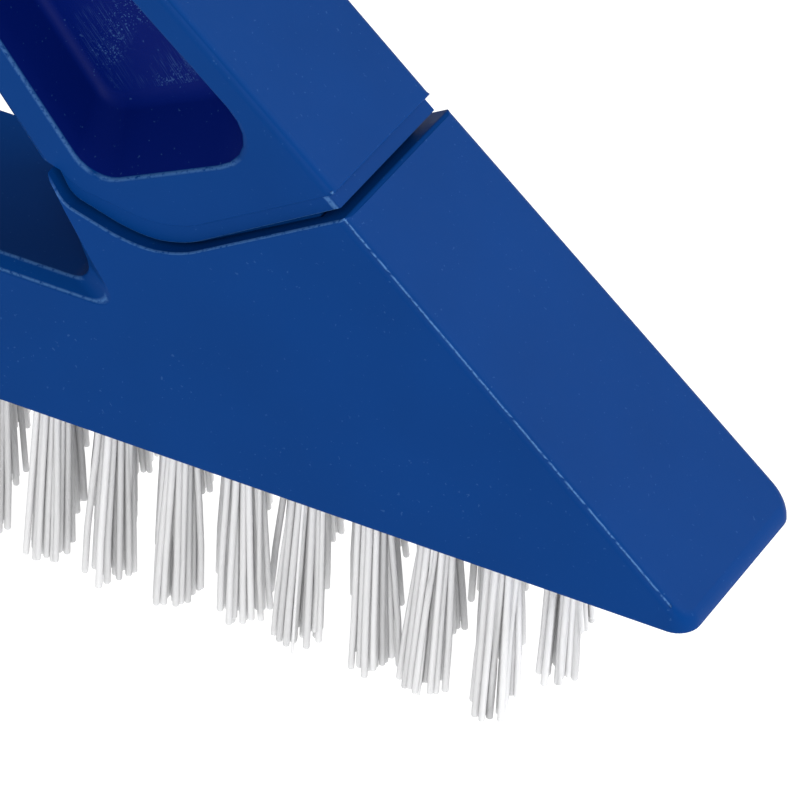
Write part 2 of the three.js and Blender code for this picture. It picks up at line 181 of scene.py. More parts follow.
class Workpiece:
    """One solid on the bench, shaped in edit mode."""

    def __init__(self, obj: bpy.types.Object) -> None:
        """Takes an object over and settles its place into its mesh.

        Args:
            obj: a new mesh object.
        """
        self.obj = obj
        self._activate()
        bpy.ops.object.transform_apply(location=True, rotation=True, scale=True)

    @classmethod
    def traced(cls, name: str, corners: Iterable[Corner], from_y: float, to_y: float) -> "Workpiece":
        """Draws an outline by extruding one point round it, rounds its corners and extrudes it along Y.

        Args:
            name: the object's name.
            corners: the outline, in order.
            from_y: depth of its front face.
            to_y: depth of its rear face.

        Returns:
            The closed slab.
        """
        corners = list(corners)
        work = cls._drawn(name, [place(c.x, from_y, c.z) for c in corners])
        bpy.ops.mesh.edge_face_add()
        for corner in corners:
            if corner.reach:
                spot = Vector((corner.x, from_y, corner.z))
                work.pick(Part.POINTS, lambda p: (p - spot).length < NEAR)
                bpy.ops.mesh.bevel(offset=corner.reach * MM, segments=6, affect="VERTICES")
        bpy.ops.mesh.select_all(action="SELECT")
        depth = Vector((0, to_y - from_y, 0)) * MM
        bpy.ops.mesh.extrude_region_move(TRANSFORM_OT_translate={"value": depth})
        bpy.ops.mesh.select_all(action="SELECT")
        bpy.ops.mesh.normals_make_consistent(inside=False)
        return work.rest()

    @classmethod
    def _drawn(cls, name: str, spots: list[Vector]) -> "Workpiece":
        """Draws a line of points by extruding the first one, and stays in edit mode with them selected.

        Args:
            name: the object's name.
            spots: the points, in order.

        Returns:
            The open line.
        """
        clear_bench()
        bpy.ops.mesh.primitive_plane_add(size=MM, location=spots[0])
        work = cls(bpy.context.object)
        work.obj.name = name
        bpy.ops.object.mode_set(mode="EDIT")
        bpy.ops.mesh.select_mode(type="VERT")
        bpy.ops.mesh.select_all(action="SELECT")
        bpy.ops.mesh.merge(type="CENTER")
        for spot, following in zip(spots, spots[1:]):
            bpy.ops.mesh.extrude_vertices_move(TRANSFORM_OT_translate={"value": following - spot})
        bpy.ops.mesh.select_all(action="SELECT")
        return work

    @classmethod
    def rod(cls, name: str, radius: float, start: Point, end: Point, sides: int = 48) -> "Workpiece":
        """A cylinder between two points.

        Args:
            name: the object's name.
            radius: its radius.
            start: middle of one end.
            end: middle of the other.
            sides: number of sides.

        Returns:
            The closed cylinder.
        """
        foot, top = place(*start), place(*end)
        clear_bench()
        bpy.ops.mesh.primitive_cylinder_add(
            vertices=sides, radius=radius * MM, depth=(top - foot).length, location=(foot + top) / 2,
            rotation=(top - foot).to_track_quat("Z", "Y").to_euler())
        bpy.context.object.name = name
        return cls(bpy.context.object)

    @classmethod
    def turned(cls, name: str, profile: Iterable[tuple[float, float]], steps: int = 64) -> "Workpiece":
        """Spins a profile of (radius, height) points about the Z axis.

        Args:
            name: the object's name.
            profile: the points, from the axis and back to it, or round to the first one.
            steps: number of steps in the turn.

        Returns:
            The closed turned solid.
        """
        work = cls._drawn(name, [place(radius, 0, height) for radius, height in profile])
        bpy.ops.mesh.spin(steps=steps, angle=math.tau, center=(0, 0, 0), axis=(0, 0, 1))
        bpy.ops.mesh.select_all(action="SELECT")
        bpy.ops.mesh.remove_doubles(threshold=NEAR * MM / 10)
        bpy.ops.mesh.normals_make_consistent(inside=False)
        return work.rest()

    @classmethod
    def joined(cls, pieces: list[bpy.types.Object]) -> "Workpiece":
        """Joins loose objects into the first of them."""
        clear_bench()
        for piece in pieces:
            piece.select_set(True)
        bpy.context.view_layer.objects.active = pieces[0]
        bpy.ops.object.join()
        return cls(bpy.context.object)

    def _activate(self) -> None:
        """Makes this the one selected and active object."""
        clear_bench()
        self.obj.select_set(True)
        bpy.context.view_layer.objects.active = self.obj

    def edit(self) -> bmesh.types.BMesh:
        """Enters edit mode, if need be, and returns the mesh being edited."""
        if self.obj.mode != "EDIT":
            self._activate()
            bpy.ops.object.mode_set(mode="EDIT")
        return bmesh.from_edit_mesh(self.obj.data)

    def rest(self) -> "Workpiece":
        """Leaves edit mode."""
        if self.obj.mode == "EDIT":
            bpy.ops.object.mode_set(mode="OBJECT")
        return self

    def pick(self, part: Part, where: Callable[..., bool]) -> int:
        """Selects points, edges or faces by their place.

        Args:
            part: what to pick.
            where: told a point's place, an edge's two ends, or a face's middle and normal.

        Returns:
            How many were picked.
        """
        mesh = self.edit()
        bpy.ops.mesh.select_mode(type=part.value)
        bpy.ops.mesh.select_all(action="DESELECT")
        mesh = bmesh.from_edit_mesh(self.obj.data)
        if part is Part.POINTS:
            found = [v for v in mesh.verts if where(reading(v.co))]
        elif part is Part.EDGES:
            found = [e for e in mesh.edges if where(*(reading(v.co) for v in e.verts))]
        else:
            found = [f for f in mesh.faces if where(reading(f.calc_center_median()), f.normal)]
        for item in found:
            item.select_set(True)
        bmesh.update_edit_mesh(self.obj.data)
        return len(found)

    def extrude_end(self, y: float, shift: float) -> "Workpiece":
        """Extrudes the end face at a depth along Y.

        Args:
            y: the end's depth.
            shift: how far it is extruded.

        Returns:
            This piece.
        """
        self.pick(Part.FACES, lambda p, n: abs(p.y - y) < NEAR and abs(n.y) > 0.9)
        bpy.ops.mesh.extrude_region_move(TRANSFORM_OT_translate={"value": Vector((0, shift, 0)) * MM})
        return self.rest()

    def reshape(self, y: float, old: Iterable[Corner], new: Iterable[Corner]) -> "Workpiece":
        """Moves the outline at a depth, point by point, from one shape to another with as many points.

        Args:
            y: the outline's depth.
            old: the outline that is there.
            new: the outline wanted.

        Returns:
            This piece.
        """
        moves = list(zip(outline(old), outline(new)))
        chosen: list[int] = []
        mesh = self.edit()
        for start, _ in moves:
            spot = Vector((start.x, y, start.y))
            chosen.append(min(mesh.verts, key=lambda v: (reading(v.co) - spot).length).index)
        for index, (start, goal) in zip(chosen, moves):
            bpy.ops.mesh.select_mode(type="VERT")
            bpy.ops.mesh.select_all(action="DESELECT")
            mesh = bmesh.from_edit_mesh(self.obj.data)
            mesh.verts.ensure_lookup_table()
            mesh.verts[index].select_set(True)
            bpy.ops.transform.translate(value=Vector((goal.x - start.x, 0, goal.y - start.y)) * MM)
        bpy.ops.mesh.select_all(action="SELECT")
        bpy.ops.mesh.normals_make_consistent(inside=False)
        return self.rest()

    def mirrored(self) -> "Workpiece":
        """Keeps the half on the right of the middle plane and mirrors it.

        Returns:
            This piece, whole and closed.
        """
        self.slice((0, 0, 0), (-1, 0, 0))
        self.pick(Part.FACES, lambda p, n: abs(p.x) < NEAR)
        bpy.ops.mesh.delete(type="FACE")
        self.rest()
        mirror = self.obj.modifiers.new("mirror", "MIRROR")
        mirror.use_mirror_merge = True
        mirror.merge_threshold = NEAR * MM
        self._apply(mirror)
        return self

    def round_edges(self, where: Callable[..., bool], width: float, segments: int = 3) -> "Workpiece":
        """Bevels the edges found by their place.

        Args:
            where: told an edge's two ends.
            width: the bevel's width on each face.
            segments: 1 for a chamfer, more for a rounding.

        Returns:
            This piece.
        """
        if not self.pick(Part.EDGES, where):
            log.warning("%s: no edge was found to round", self.obj.name)
            return self.rest()
        bpy.ops.mesh.bevel(offset=width * MM, segments=segments, affect="EDGES", clamp_overlap=True)
        return self.rest()

    def round_rims(self, axis: str, places: Iterable[float], width: float, segments: int = 3) -> "Workpiece":
        """Bevels the edges that lie in planes square to an axis.

        Args:
            axis: "x", "y" or "z".
            places: where the planes cut that axis.
            width: the bevel's width on each face.
            segments: 1 for a chamfer, more for a rounding.

        Returns:
            This piece.
        """
        return self.round_edges(lambda a, b: any(
            abs(getattr(a, axis) - at) < NEAR and abs(getattr(b, axis) - at) < NEAR
            for at in places), width, segments)

    def drill(self, radius: float, start: Point, end: Point, sides: int = 48) -> "Workpiece":
        """Cuts a round hole between two points.

        Args:
            radius: its radius.
            start: middle of one end.
            end: middle of the other.
            sides: number of sides.

        Returns:
            This piece.
        """
        return self.combine(Workpiece.rod("drill", radius, start, end, sides), Join.CUT)

    def weigh(self, where: Callable[..., bool], weight: float) -> "Workpiece":
        """Gives the edges found by their place a share of the width of soften's bevel.

        Args:
            where: told an edge's two ends.
            weight: the share, from 0 to 1.

        Returns:
            This piece.
        """
        if not self.pick(Part.EDGES, where):
            log.warning("%s: no edge was found to weigh", self.obj.name)
        mesh = bmesh.from_edit_mesh(self.obj.data)
        layer = mesh.edges.layers.float.get("bevel_weight_edge")
        layer = layer or mesh.edges.layers.float.new("bevel_weight_edge")
        for edge in mesh.edges:
            if edge.select:
                edge[layer] = weight
        bmesh.update_edit_mesh(self.obj.data)
        return self.rest()

    def soften(self, width: float, segments: int = 6) -> "Workpiece":
        """Rounds every weighted edge at once, so that roundings of different widths meet cleanly.

        Args:
            width: the width at a weight of 1.
            segments: steps across each rounding.

        Returns:
            This piece.
        """
        self.rest()
        bevel = self.obj.modifiers.new("soften", "BEVEL")
        bevel.limit_method = "WEIGHT"
        bevel.width = width * MM
        bevel.segments = segments
        bevel.use_clamp_overlap = False
        self._apply(bevel)
        mesh = self.edit()
        layer = mesh.edges.layers.float.get("bevel_weight_edge")
        for edge in mesh.edges:
            edge[layer] = 0
        return self.rest()

    def slice(self, through: Point, normal: Point, trim: bool = True) -> "Workpiece":
        """Cuts along a plane: through the whole piece, or through what is selected when nothing is trimmed.

        Args:
            through: a point on the plane.
            normal: points at the side to trim.
            trim: whether that side is removed and the cut closed.

        Returns:
            This piece.
        """
        self.edit()
        if trim:
            bpy.ops.mesh.select_all(action="SELECT")
        bpy.ops.mesh.bisect(
            plane_co=place(*through), plane_no=normal, use_fill=trim, clear_outer=trim, threshold=1e-6)
        return self.rest() if trim else self

    def combine(self, other: "Workpiece", how: Join) -> "Workpiece":
        """Adds another solid to this one or cuts it away, and removes the other.

        Args:
            other: the other solid.
            how: whether it is added or cut.

        Returns:
            This piece.
        """
        self.rest()
        other.rest()
        self._activate()
        boolean = self.obj.modifiers.new("combine", "BOOLEAN")
        boolean.operation = how.value
        boolean.solver = "EXACT"
        boolean.object = other.obj
        self._apply(boolean)
        bpy.data.objects.remove(other.obj)
        return self

    def _apply(self, modifier: bpy.types.Modifier) -> None:
        """Applies one modifier."""
        self._activate()
        bpy.ops.object.modifier_apply(modifier=modifier.name)

    def copied(self, name: str) -> "Workpiece":
        """A copy with its own mesh.

        Args:
            name: the copy's name.

        Returns:
            The copy.
        """
        self.rest()
        twin = self.obj.copy()
        twin.data = self.obj.data.copy()
        twin.name = name
        bpy.context.scene.collection.objects.link(twin)
        return Workpiece(twin)

    def flipped(self, name: str) -> "Workpiece":
        """A mirror image on the brush's other half.

        Args:
            name: the copy's name.

        Returns:
            The mirror image, with its faces pointing out.
        """
        twin = self.copied(name)
        twin.obj.scale = (-1, 1, 1)
        twin._activate()
        bpy.ops.object.transform_apply(scale=True)
        twin.edit()
        bpy.ops.mesh.select_all(action="SELECT")
        bpy.ops.mesh.normals_make_consistent(inside=False)
        return twin.rest()

    def moved(self, x: float = 0, y: float = 0, z: float = 0) -> "Workpiece":
        """Shifts the whole piece, in millimetres, and returns it."""
        self.rest()
        self.obj.location = Vector((x, y, z)) * MM
        self._activate()
        bpy.ops.object.transform_apply(location=True)
        return self

    def mark(self, name: str, where: Callable[[Vector], float], broadest: float = 14.0) -> "Workpiece":
        """Stores a number on every point of the narrow strips that the roundings made.

        Args:
            name: the attribute's name.
            where: told a point's place, gives its number.
            broadest: area in square millimetres above which a face isn't such a strip.

        Returns:
            This piece.
        """
        self.rest()
        mesh = self.obj.data
        broad: set[int] = set()
        for face in mesh.polygons:
            if face.area / MM ** 2 > broadest:
                broad.update(face.vertices)
        layer = mesh.attributes.new(name, "FLOAT", "POINT")
        for item, vertex in zip(layer.data, mesh.vertices):
            item.value = 0.0 if vertex.index in broad else where(reading(vertex.co))
        return self

    def dress(self, material: bpy.types.Material, slot: str, body: str, *nodes: str,
              angle: float = 40.0) -> bpy.types.Object:
        """Smooths the surface, gives it its finish and seats it in the frame.

        Args:
            material: the finish.
            slot: the record's material slot; not used.
            body: the CAD body that it rides on.
            nodes: the CAD nodes that it stands for.
            angle: sharper edges than this stay crisp, in degrees.

        Returns:
            The finished object.
        """
        self.rest()
        self._activate()
        bpy.ops.object.shade_smooth_by_angle(angle=math.radians(angle))
        weighting = self.obj.modifiers.new("weighting", "WEIGHTED_NORMAL")
        weighting.keep_sharp = True
        self._apply(weighting)
        if not self.obj.data.materials:
            self.obj.data.materials.append(material)
        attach(self.obj, body)
        if nodes:
            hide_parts(*nodes)
        log.info("%s: %d faces on %s", self.obj.name, len(self.obj.data.polygons), body)
        return self.obj


def clear_bench() -> None:
    """Leaves edit mode and deselects everything, the loaded frame included."""
    active = bpy.context.view_layer.objects.active
    if active and active.mode != "OBJECT":
        bpy.ops.object.mode_set(mode="OBJECT")
    bpy.ops.object.select_all(action="DESELECT")


# ---- Finishes ----


class Signal:
    """A shader socket that arithmetic can be written on."""

    def __init__(self, graph: "Graph", socket: bpy.types.NodeSocket) -> None:
        """Wraps an output socket of a graph's node."""
        self.graph = graph
        self.socket = socket

    def _math(self, operation: str, first: "Value", second: "Value" = 0.0) -> "Signal":
        """A Math node on two values."""
        return self.graph.add("ShaderNodeMath", {"operation": operation}, {0: first, 1: second})

    def __add__(self, other: "Value") -> "Signal":
        """self + other."""
        return self._math("ADD", self, other)

    def __sub__(self, other: "Value") -> "Signal":
        """self - other."""
        return self._math("SUBTRACT", self, other)

    def __rsub__(self, other: "Value") -> "Signal":
        """other - self."""
        return self._math("SUBTRACT", other, self)

    def __mul__(self, other: "Value") -> "Signal":
        """self * other."""
        return self._math("MULTIPLY", self, other)

    def above(self, limit: float, span: float) -> "Signal":
        """0 below limit, 1 from limit + span on, and a straight ramp between them."""
        return self.graph.add(
            "ShaderNodeMapRange", {"clamp": True}, {0: self, 1: limit, 2: limit + span, 3: 0.0, 4: 1.0})

    __radd__ = __add__
    __rmul__ = __mul__


Value = Signal | float | tuple


class Graph:
    """The node tree of one material."""

    def __init__(self, name: str) -> None:
        """Starts an empty material of that name."""
        self.material = bpy.data.materials.new(name)
        self.material.use_nodes = True
        self.tree = self.material.node_tree
        self.tree.nodes.clear()

    def add(self, kind: str, settings: dict[str, object] | None = None,
            inputs: dict[str | int, Value] | None = None, output: str | int = 0) -> Signal:
        """Adds any node.

        Args:
            kind: the node's type.
            settings: its properties, set first.
            inputs: values or links of its sockets.
            output: the socket to return.

        Returns:
            That output.
        """
        node = self.tree.nodes.new(kind)
        for name, value in (settings or {}).items():
            setattr(node, name, value)
        for key, value in (inputs or {}).items():
            if isinstance(value, Signal):
                self.tree.links.new(value.socket, node.inputs[key])
            else:
                node.inputs[key].default_value = value
        return Signal(self, node.outputs[output])

    def position(self, stretch: Point = (1, 1, 1), turn: Point = (0, 0, 0)) -> Signal:
        """Object coordinates, stretched and turned.

        Args:
            stretch: scale of the pattern along each axis.
            turn: rotation in degrees, taken before the stretch.

        Returns:
            The coordinates.
        """
        where = self.add("ShaderNodeTexCoord", output="Object")
        turned = self.add("ShaderNodeMapping", {"vector_type": "POINT"},
                          {0: where, 2: tuple(math.radians(a) for a in turn)})
        return self.add("ShaderNodeMapping", {"vector_type": "POINT"}, {0: turned, 3: stretch})

    def noise(self, size: float, where: Signal | None = None, detail: float = 2.0) -> Signal:
        """Noise with features of about that many millimetres.

        Args:
            size: the feature size.
            where: coordinates, or the object's own.
            detail: octaves.

        Returns:
            A number about 0.5.
        """
        return self.add("ShaderNodeTexNoise", None,
                        {"Vector": where or self.position(), "Scale": 1 / (size * MM), "Detail": detail})

    def mark(self, name: str) -> Signal:
        """The number that a mesh holds under that name."""
        return self.add("ShaderNodeAttribute", {"attribute_name": name}, output="Fac")

    def blend(self, share: Value, first: Value, second: Value) -> Signal:
        """A mix of two colours."""
        return self.add("ShaderNodeMix", {"data_type": "RGBA"}, {0: share, 6: first, 7: second}, output=2)

    def relief(self, height: Signal, depth: float, onto: Signal | None = None) -> Signal:
        """A bump of that many millimetres.

        Args:
            height: from 0 to 1.
            depth: height of 1, in millimetres.
            onto: another relief under this one.

        Returns:
            The normal.
        """
        inputs: dict[str | int, Value] = {"Height": height, "Distance": depth * MM, "Strength": 1.0}
        if onto:
            inputs["Normal"] = onto
        return self.add("ShaderNodeBump", None, inputs)

    def surface(self, **inputs: Value) -> bpy.types.Material:
        """Ends the graph in a Principled shader.

        Args:
            inputs: its sockets, with _ for a space.

        Returns:
            The material.
        """
        named = {key.replace("_", " "): value for key, value in inputs.items()}
        shader = self.add("ShaderNodeBsdfPrincipled", None, named)
        self.add_output(shader)
        return self.material

    def add_output(self, shader: Signal) -> None:
        """Links a shader to the material's output."""
        node = self.tree.nodes.new("ShaderNodeOutputMaterial")
        self.tree.links.new(shader.socket, node.inputs["Surface"])


class Wall(Enum):
    """Where on a moulding a finish lies; the pocket's walls and floor get a darker painted shade."""

    OUTER = "moulded_blue"
    POCKET = "moulded_blue_deep"
    POCKET_FLOOR = "moulded_blue_drag_marked"


@dataclass(frozen=True)
class BluePlastic:
    """Royal-blue polypropylene from a fine-textured mould, with pale scuffs and painted highlights along
    marked edges, and painted shade in the pockets.
    """

    colour: tuple = (0.0003, 0.035, 0.1735, 1)
    # painted shade: a darker colour for the pocket walls and floors
    pocket_shade_colour: tuple = (0.0001, 0.007, 0.115, 1)
    # pale colour for scuffs and for painted highlights along marked edges
    scuff_and_highlight_colour: tuple = (0.075, 0.19, 0.42, 1)
    roughness: float = 0.45
    gloss: float = 0.042
    grain: float = 0.16
    grain_depth: float = 0.004
    drag_turn: float = 39.4
    drag_width: float = 0.12
    drag_stretch: float = 0.04
    cloud_size: float = 14.0
    speck_size: float = 0.45
    scuff_and_highlight_size: float = 0.35

    def build(self, wall: Wall) -> bpy.types.Material:
        """Makes the finish for one kind of wall.

        Args:
            wall: where it lies.

        Returns:
            The material.
        """
        graph = Graph(wall.value)
        cloud = graph.noise(self.cloud_size)
        grain = graph.noise(self.grain)
        speck = graph.noise(self.speck_size, detail=1.0).above(0.735, 0.03)
        # marked edges turn pale: partly scuffing, partly a painted highlight
        scuff_and_highlight_mask = graph.mark("wear") * graph.noise(self.scuff_and_highlight_size, detail=3.0).above(0.3, 0.2)
        pale_and_highlight = scuff_and_highlight_mask + speck * 0.18
        height = grain
        if wall is Wall.POCKET_FLOOR:
            lines = graph.position((1, 1, self.drag_stretch), (0, self.drag_turn, 0))
            drawn = graph.noise(self.drag_width, lines, detail=2.0)
            streak = drawn.above(0.54, 0.12) * graph.noise(5.0, detail=2.0).above(0.42, 0.16)
            dots = graph.noise(0.2, detail=0.0).above(0.66, 0.06) * graph.noise(6.0).above(0.5, 0.1)
            pale_and_highlight = pale_and_highlight + streak * 0.16 + dots * 0.25
            height = grain + drawn * 2.0
        # painted shade: the pockets take the darker colour
        colour = self.colour if wall is Wall.OUTER else self.pocket_shade_colour
        deep = tuple(c * 0.9 for c in colour[:3]) + (1,)
        lift = tuple(c * 1.08 for c in colour[:3]) + (1,)
        body = graph.blend(cloud, deep, lift)
        return graph.surface(
            Base_Color=graph.blend(pale_and_highlight, body, self.scuff_and_highlight_colour),
            Roughness=graph.noise(1.2) * 0.1 + (self.roughness - 0.05) + scuff_and_highlight_mask * 0.1,
            Specular_IOR_Level=self.gloss,
            Normal=graph.relief(height, self.grain_depth))


@dataclass(frozen=True)
class WhiteFilament:
    """Clear-white nylon filament, a little different in tone from one filament to the next."""

    dark: tuple = (0.50, 0.50, 0.505, 1)
    light: tuple = (0.74, 0.74, 0.745, 1)
    roughness: float = 0.38

    def build(self) -> bpy.types.Material:
        """Makes the finish."""
        graph = Graph("white_filament")
        run = graph.noise(0.5, graph.position((1, 1, 0.06)), detail=1.0)
        return graph.surface(
            Base_Color=graph.blend(graph.mark("tone") + run * 0.3 - 0.15, self.dark, self.light),
            Roughness=run * 0.15 + self.roughness,
            Specular_IOR_Level=0.35,
            Subsurface_Weight=0.35,
            Subsurface_Radius=(0.9 * MM, 0.9 * MM, 0.9 * MM),
            Subsurface_Scale=1.0)


@dataclass(frozen=True)
class BrushedMetal:
    """A drawn or turned metal: fine lines along one direction over a satin surface."""

    name: str
    colour: tuple
    roughness: float
    stretch: Point = (1, 1, 1)
    depth: float = 0.003

    def build(self) -> bpy.types.Material:
        """Makes the finish."""
        graph = Graph(self.name)
        lines = graph.noise(0.3, graph.position(self.stretch), detail=3.0)
        smudge = graph.noise(9.0, detail=3.0)
        dull = tuple(c * 0.82 for c in self.colour[:3]) + (1,)
        return graph.surface(
            Base_Color=graph.blend(lines * 0.6 + smudge * 0.4, dull, self.colour),
            Metallic=0.92,
            Roughness=lines * 0.16 + smudge * 0.1 + (self.roughness - 0.12),
            Normal=graph.relief(lines, self.depth))


@dataclass
class Finishes:
    """Every finish of the brush, built once."""

    blue: bpy.types.Material = field(default_factory=lambda: BluePlastic().build(Wall.OUTER))
    pocket_wall: bpy.types.Material = field(default_factory=lambda: BluePlastic().build(Wall.POCKET))
    pocket_floor: bpy.types.Material = field(default_factory=lambda: BluePlastic().build(Wall.POCKET_FLOOR))
    filament: bpy.types.Material = field(default_factory=lambda: WhiteFilament().build())
    steel: bpy.types.Material = field(default_factory=lambda: BrushedMetal(
        "stainless_steel", (0.58, 0.59, 0.60, 1), 0.28, (1, 0.25, 1)).build())
    aluminium: bpy.types.Material = field(default_factory=lambda: BrushedMetal(
        "satin_aluminium", (0.68, 0.69, 0.70, 1), 0.38, (1, 1, 0.02)).build())
    spring: bpy.types.Material = field(default_factory=lambda: BrushedMetal(
        "spring_steel", (0.50, 0.50, 0.51, 1), 0.34, (1, 1, 0.05)).build())


# ---- Shapes that the base and the frame share ----


@dataclass(frozen=True)
class Slope:
    """The outer slope from the horns' noses up to the hub, and the parting-line bead along its edge."""

    half: float = 125.0
    nose: float = 1.5
    pitch: float = math.radians(40.6)
    rounding: float = 1.22
    bead_width: float = 0.15
    bead_height: float = 0.11
    bead_cuts: int = 100
    bead_jitter: float = 0.05

    def height(self, x: float, sunk: float = 0.0) -> float:
        """Height of the slope at a distance from the middle, lowered by `sunk` square to it."""
        return self.nose + (self.half - abs(x)) * math.tan(self.pitch) - sunk / math.cos(self.pitch)

    def outward(self) -> Vector:
        """The direction out of the right-hand slope."""
        return Vector((math.sin(self.pitch), 0, math.cos(self.pitch)))

    def along(self, first: Vector, second: Vector, sunk: float, tolerance: float = NEAR) -> bool:
        """Whether an edge runs up the slope and lies in it."""
        return (abs(first.x - second.x) > NEAR
                and all(abs(p.z - self.height(p.x, sunk)) < tolerance for p in (first, second)))

    def add_bead(self, work: Workpiece, sunk: float, front: Callable[[float], float], seed: int) -> None:
        """Raises the thin uneven bead in the middle of the front edge's rounding.

        Args:
            work: the piece whose front edge is already rounded.
            sunk: how far its slope lies below the horns' slope.
            front: depth of its front face at a height.
            seed: seed of the unevenness.
        """
        reach = self.rounding * (math.sqrt(2) - 1)
        out = self.outward()

        def depth(p: Vector) -> tuple[float, float]:
            """A point's depth behind the front face and under the slope."""
            return p.y - front(p.z), (self.height(p.x, sunk) - p.z) * math.cos(self.pitch)

        def along(loose: float) -> Callable[[Vector, Vector], bool]:
            """Whether an edge runs up the rounding within that distance of its middle line."""
            def check(first: Vector, second: Vector) -> bool:
                """Whether the edge's direction and its middle fit."""
                behind, under = depth((first + second) / 2)
                rise = abs(first.z - second.z) - abs(first.x - second.x) * math.tan(self.pitch)
                return (abs(first.x - second.x) > 0.4 and abs(rise) < 0.3 and abs(first.y - second.y) < 1.6
                        and abs(math.hypot(behind, under) - reach) < loose
                        and abs(behind - under) < 2.4 * loose)
            return check

        if not work.pick(Part.EDGES, along(0.06)):
            log.warning("%s: no edge was found for the bead", work.obj.name)
        bpy.ops.mesh.bevel(offset=self.bead_width * MM, segments=2, affect="EDGES")
        work.pick(Part.EDGES, along(0.13))
        bpy.ops.mesh.subdivide(number_cuts=self.bead_cuts)
        work.pick(Part.POINTS, lambda p: self.on_crest(*depth(p)))
        lift = (out + Vector((0, -1, 0))).normalized() * self.bead_height
        bpy.ops.transform.translate(value=lift * MM)
        bpy.ops.transform.vertex_random(offset=self.bead_jitter * MM, uniform=1.0, seed=seed)
        work.rest()

    def on_crest(self, behind: float, under: float, loose: float = 0.05) -> bool:
        """Whether a point that far behind the front face and under the slope is on the rounding's middle."""
        return (abs(behind - under) < loose and min(behind, under) > 0.04
                and math.hypot(behind, under) < self.rounding * (math.sqrt(2) - 1) + 0.01)


